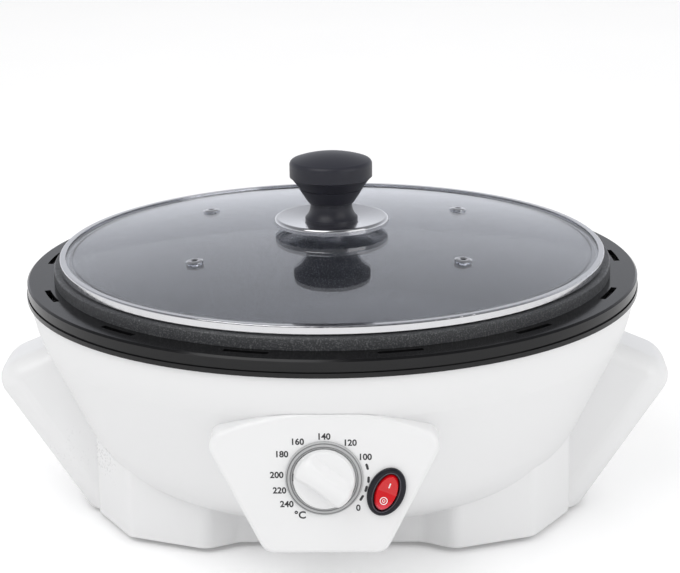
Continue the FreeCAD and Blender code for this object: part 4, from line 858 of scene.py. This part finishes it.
class ROASTER_OT_thermostat(bpy.types.Operator):
    """Thermostat, its sensor bulb, clip and thin tube."""
    bl_idname = "roaster.thermostat"
    bl_label = "Thermostat"
    bl_options = {"REGISTER", "UNDO"}

    def execute(self, context):
        dress(nodes_with("thermostat_case", "sensor_bulb", "bulb_clip", "capillary_tube"))
        return {"FINISHED"}


class ROASTER_OT_bowl(bpy.types.Operator):
    """Coated roasting bowl and its shaft bush."""
    bl_idname = "roaster.bowl"
    bl_label = "Roasting Bowl"
    bl_options = {"REGISTER", "UNDO"}

    def execute(self, context):
        dress(["roasting_bowl", "shaft_bush"])
        return {"FINISHED"}


class ROASTER_OT_stirrer(bpy.types.Operator):
    """Stirrer: shaft, hub, arms and blades."""
    bl_idname = "roaster.stirrer"
    bl_label = "Stirrer"
    bl_options = {"REGISTER", "UNDO"}

    def execute(self, context):
        dress(nodes_with("drive_shaft", "stirrer_"))
        return {"FINISHED"}


class ROASTER_OT_heater(bpy.types.Operator):
    """Heating ring with its clamps, and the shield under it."""
    bl_idname = "roaster.heater"
    bl_label = "Heater"
    bl_options = {"REGISTER", "UNDO"}

    def execute(self, context):
        dress(nodes_with("heating_element", "heater_clamp_", "heat_shield", "shield_screws"))
        return {"FINISHED"}


class ROASTER_OT_drive(bpy.types.Operator):
    """Gear motor with its flange and screws."""
    bl_idname = "roaster.drive"
    bl_label = "Drive"
    bl_options = {"REGISTER", "UNDO"}

    def execute(self, context):
        dress(nodes_with("motor_", "gear_case"))
        return {"FINISHED"}


class ROASTER_OT_base(bpy.types.Operator):
    """Base plate, screws, feet, cord gland, terminal block and fuse."""
    bl_idname = "roaster.base"
    bl_label = "Base"
    bl_options = {"REGISTER", "UNDO"}

    def execute(self, context):
        dress(nodes_with("base_", "rubber_foot_", "cord_gland", "gland_nut", "terminal_block",
                         "thermal_fuse", "fuse_clip"))
        return {"FINISHED"}


class ROASTER_OT_lid(bpy.types.Operator):
    """Domed glass lid with its steel rim and vents."""
    bl_idname = "roaster.lid"
    bl_label = "Glass Lid"
    bl_options = {"REGISTER", "UNDO"}

    def execute(self, context):
        dress(nodes_with("lid_glass", "lid_vent_", "lid_rim"))
        return {"FINISHED"}


class ROASTER_OT_lid_knob(bpy.types.Operator):
    """Black lid knob on its chrome disc."""
    bl_idname = "roaster.lid_knob"
    bl_label = "Lid Knob"
    bl_options = {"REGISTER", "UNDO"}

    def execute(self, context):
        dress(["chrome_disc", "lid_knob", "lid_screw", "lid_washer"])
        return {"FINISHED"}


class ROASTER_OT_stage(bpy.types.Operator):
    """Pale floor, soft studio light and the camera at the photograph's angle."""
    bl_idname = "roaster.stage"
    bl_label = "Stage"
    bl_options = {"REGISTER", "UNDO"}

    def execute(self, context):
        self.lay_floor()
        self.light_world()
        self.hang_lamps()
        self.place_camera()
        return {"FINISHED"}

    def lay_floor(self):
        """Wide pale floor, which looks white to the camera and keeps the shadow."""
        work = bmesh.new()
        marks = [-FLOOR_HALF + 2 * FLOOR_HALF * step / FLOOR_GRID
                 for step in range(FLOOR_GRID + 1)]
        rows = [[work.verts.new((across, back, 0.0)) for across in marks] for back in marks]
        for near, far in zip(rows, rows[1:]):
            for step in range(FLOOR_GRID):
                work.faces.new((near[step], near[step + 1], far[step + 1], far[step]))
        mesh = bpy.data.meshes.new("floor")
        work.to_mesh(mesh)
        work.free()
        thing = bpy.data.objects.new("floor", mesh)
        bpy.context.scene.collection.objects.link(thing)
        material, tree, shader = new_finish("pale_floor", Roughness=0.75,
                                            Emission_Color=(1.0, 1.0, 1.0, 1.0))
        cloud = object_noise(tree, 6.0)
        tree.links.new(blend_colours(tree, cloud, (0.93, 0.93, 0.935), (0.96, 0.96, 0.962)),
                       shader.inputs["Base Color"])
        path = tree.nodes.new("ShaderNodeLightPath")
        tree.links.new(maths(tree, "MULTIPLY", path.outputs["Is Camera Ray"], FLOOR_GLOW),
                       shader.inputs["Emission Strength"])
        mesh.materials.append(material)

    def light_world(self):
        """Even white light, white to the camera and graded in reflections."""
        world = bpy.data.worlds.new("studio")
        world.use_nodes = True
        bpy.context.scene.world = world
        tree = world.node_tree
        back = tree.nodes["Background"]
        path = tree.nodes.new("ShaderNodeLightPath")
        glossy = path.outputs["Is Glossy Ray"]
        parts = tree.nodes.new("ShaderNodeSeparateXYZ")
        place = tree.nodes.new("ShaderNodeTexCoord").outputs["Generated"]
        tree.links.new(place, parts.inputs[0])
        rise = spread(tree, parts.outputs["Z"], 0.0, 0.6, 1.0, 0.3)
        depth = spread(tree, parts.outputs["Y"], -0.6, 0.6, 0.35, 1.0)
        mirrored = maths(tree, "MULTIPLY", rise, depth)
        seen = maths(tree, "MAXIMUM", path.outputs["Is Camera Ray"],
                     path.outputs["Is Transmission Ray"])
        strength = spread(tree, glossy, 0.0, 1.0, view().world_light, mirrored)
        tree.links.new(spread(tree, seen, 0.0, 1.0, strength, 1.0), back.inputs["Strength"])
        tree.links.new(blend_colours(tree, glossy, (1.0, 1.0, 1.0), (0.92, 0.94, 1.0)),
                       back.inputs["Color"])

    def hang_lamps(self):
        """Large key light, side light and a back light that reflections leave out."""
        key, fill = view().key_light, view().fill_light
        for name, place, size, power in (
                ("key_light", (-0.7, -0.9, 1.6), 1.3, key),
                ("fill_light", (1.3, -0.9, 0.9), 1.2, fill),
                ("back_light", (0.0, 1.5, 1.2), 1.4, fill * BACK_SHARE)):
            lamp = bpy.data.lights.new(name, "AREA")
            lamp.shape = "SQUARE"
            lamp.size = size
            lamp.energy = power
            thing = bpy.data.objects.new(name, lamp)
            bpy.context.scene.collection.objects.link(thing)
            thing.location = place
            thing.visible_glossy = name != "back_light"
            aim = LAMP_AIM - Vector(place)
            thing.rotation_euler = aim.to_track_quat("-Z", "Y").to_euler()

    def place_camera(self):
        """Camera at the photograph's angle, with its slight roll."""
        lens = bpy.data.cameras.new("camera")
        lens.lens = view().lens
        lens.sensor_width = 36.0
        lens.sensor_fit = "HORIZONTAL"
        lens.clip_end = 20.0
        thing = bpy.data.objects.new("camera", lens)
        bpy.context.scene.collection.objects.link(thing)
        ahead = CAMERA_AHEAD.normalized()
        level = ahead.cross(Vector((0, 0, 1))).normalized()
        above = level.cross(ahead)
        right = level * math.cos(CAMERA_ROLL) + above * math.sin(CAMERA_ROLL)
        up = above * math.cos(CAMERA_ROLL) - level * math.sin(CAMERA_ROLL)
        turn = Matrix((right, up, -ahead)).transposed().to_4x4()
        thing.matrix_world = Matrix.Translation(CAMERA_PLACE) @ turn
        bpy.context.scene.camera = thing
        bpy.context.scene.view_settings.view_transform = "Standard"


class ROASTER_PT_panel(bpy.types.Panel):
    """The roaster's steps and sizes in the 3D view's sidebar."""
    bl_label = "Coffee Bean Roaster"
    bl_idname = "ROASTER_PT_panel"
    bl_space_type = "VIEW_3D"
    bl_region_type = "UI"
    bl_category = "Roaster"

    def draw(self, context):
        scene = context.scene
        for step in STEPS:
            self.layout.operator(step.bl_idname)
        for setting in SETTINGS:
            group = getattr(scene, setting)
            box = self.layout.box()
            for name in group.__annotations__:
                box.prop(group, name)


STEPS = (ROASTER_OT_stage, ROASTER_OT_shell, ROASTER_OT_rim, ROASTER_OT_panel,
         ROASTER_OT_knob, ROASTER_OT_switch, ROASTER_OT_thermostat, ROASTER_OT_bowl,
         ROASTER_OT_stirrer, ROASTER_OT_heater, ROASTER_OT_drive, ROASTER_OT_base,
         ROASTER_OT_lid, ROASTER_OT_lid_knob)
SETTINGS = {"roaster_finishes": RoasterFinishes, "roaster_print": RoasterPrint,
            "roaster_view": RoasterView}


def register():
    """Registers the settings, the steps and the panel."""
    for kind in (*SETTINGS.values(), *STEPS, ROASTER_PT_panel):
        bpy.utils.register_class(kind)
    for name, kind in SETTINGS.items():
        setattr(bpy.types.Scene, name, PointerProperty(type=kind))


def unregister():
    """Takes away what register added."""
    for name in SETTINGS:
        delattr(bpy.types.Scene, name)
    for kind in (ROASTER_PT_panel, *reversed(STEPS), *reversed(SETTINGS.values())):
        bpy.utils.unregister_class(kind)


def main():
    """Runs every step in order."""
    register()
    for step in STEPS:
        family, name = step.bl_idname.split(".")
        getattr(getattr(bpy.ops, family), name)()


if __name__ == "__main__":
    main()
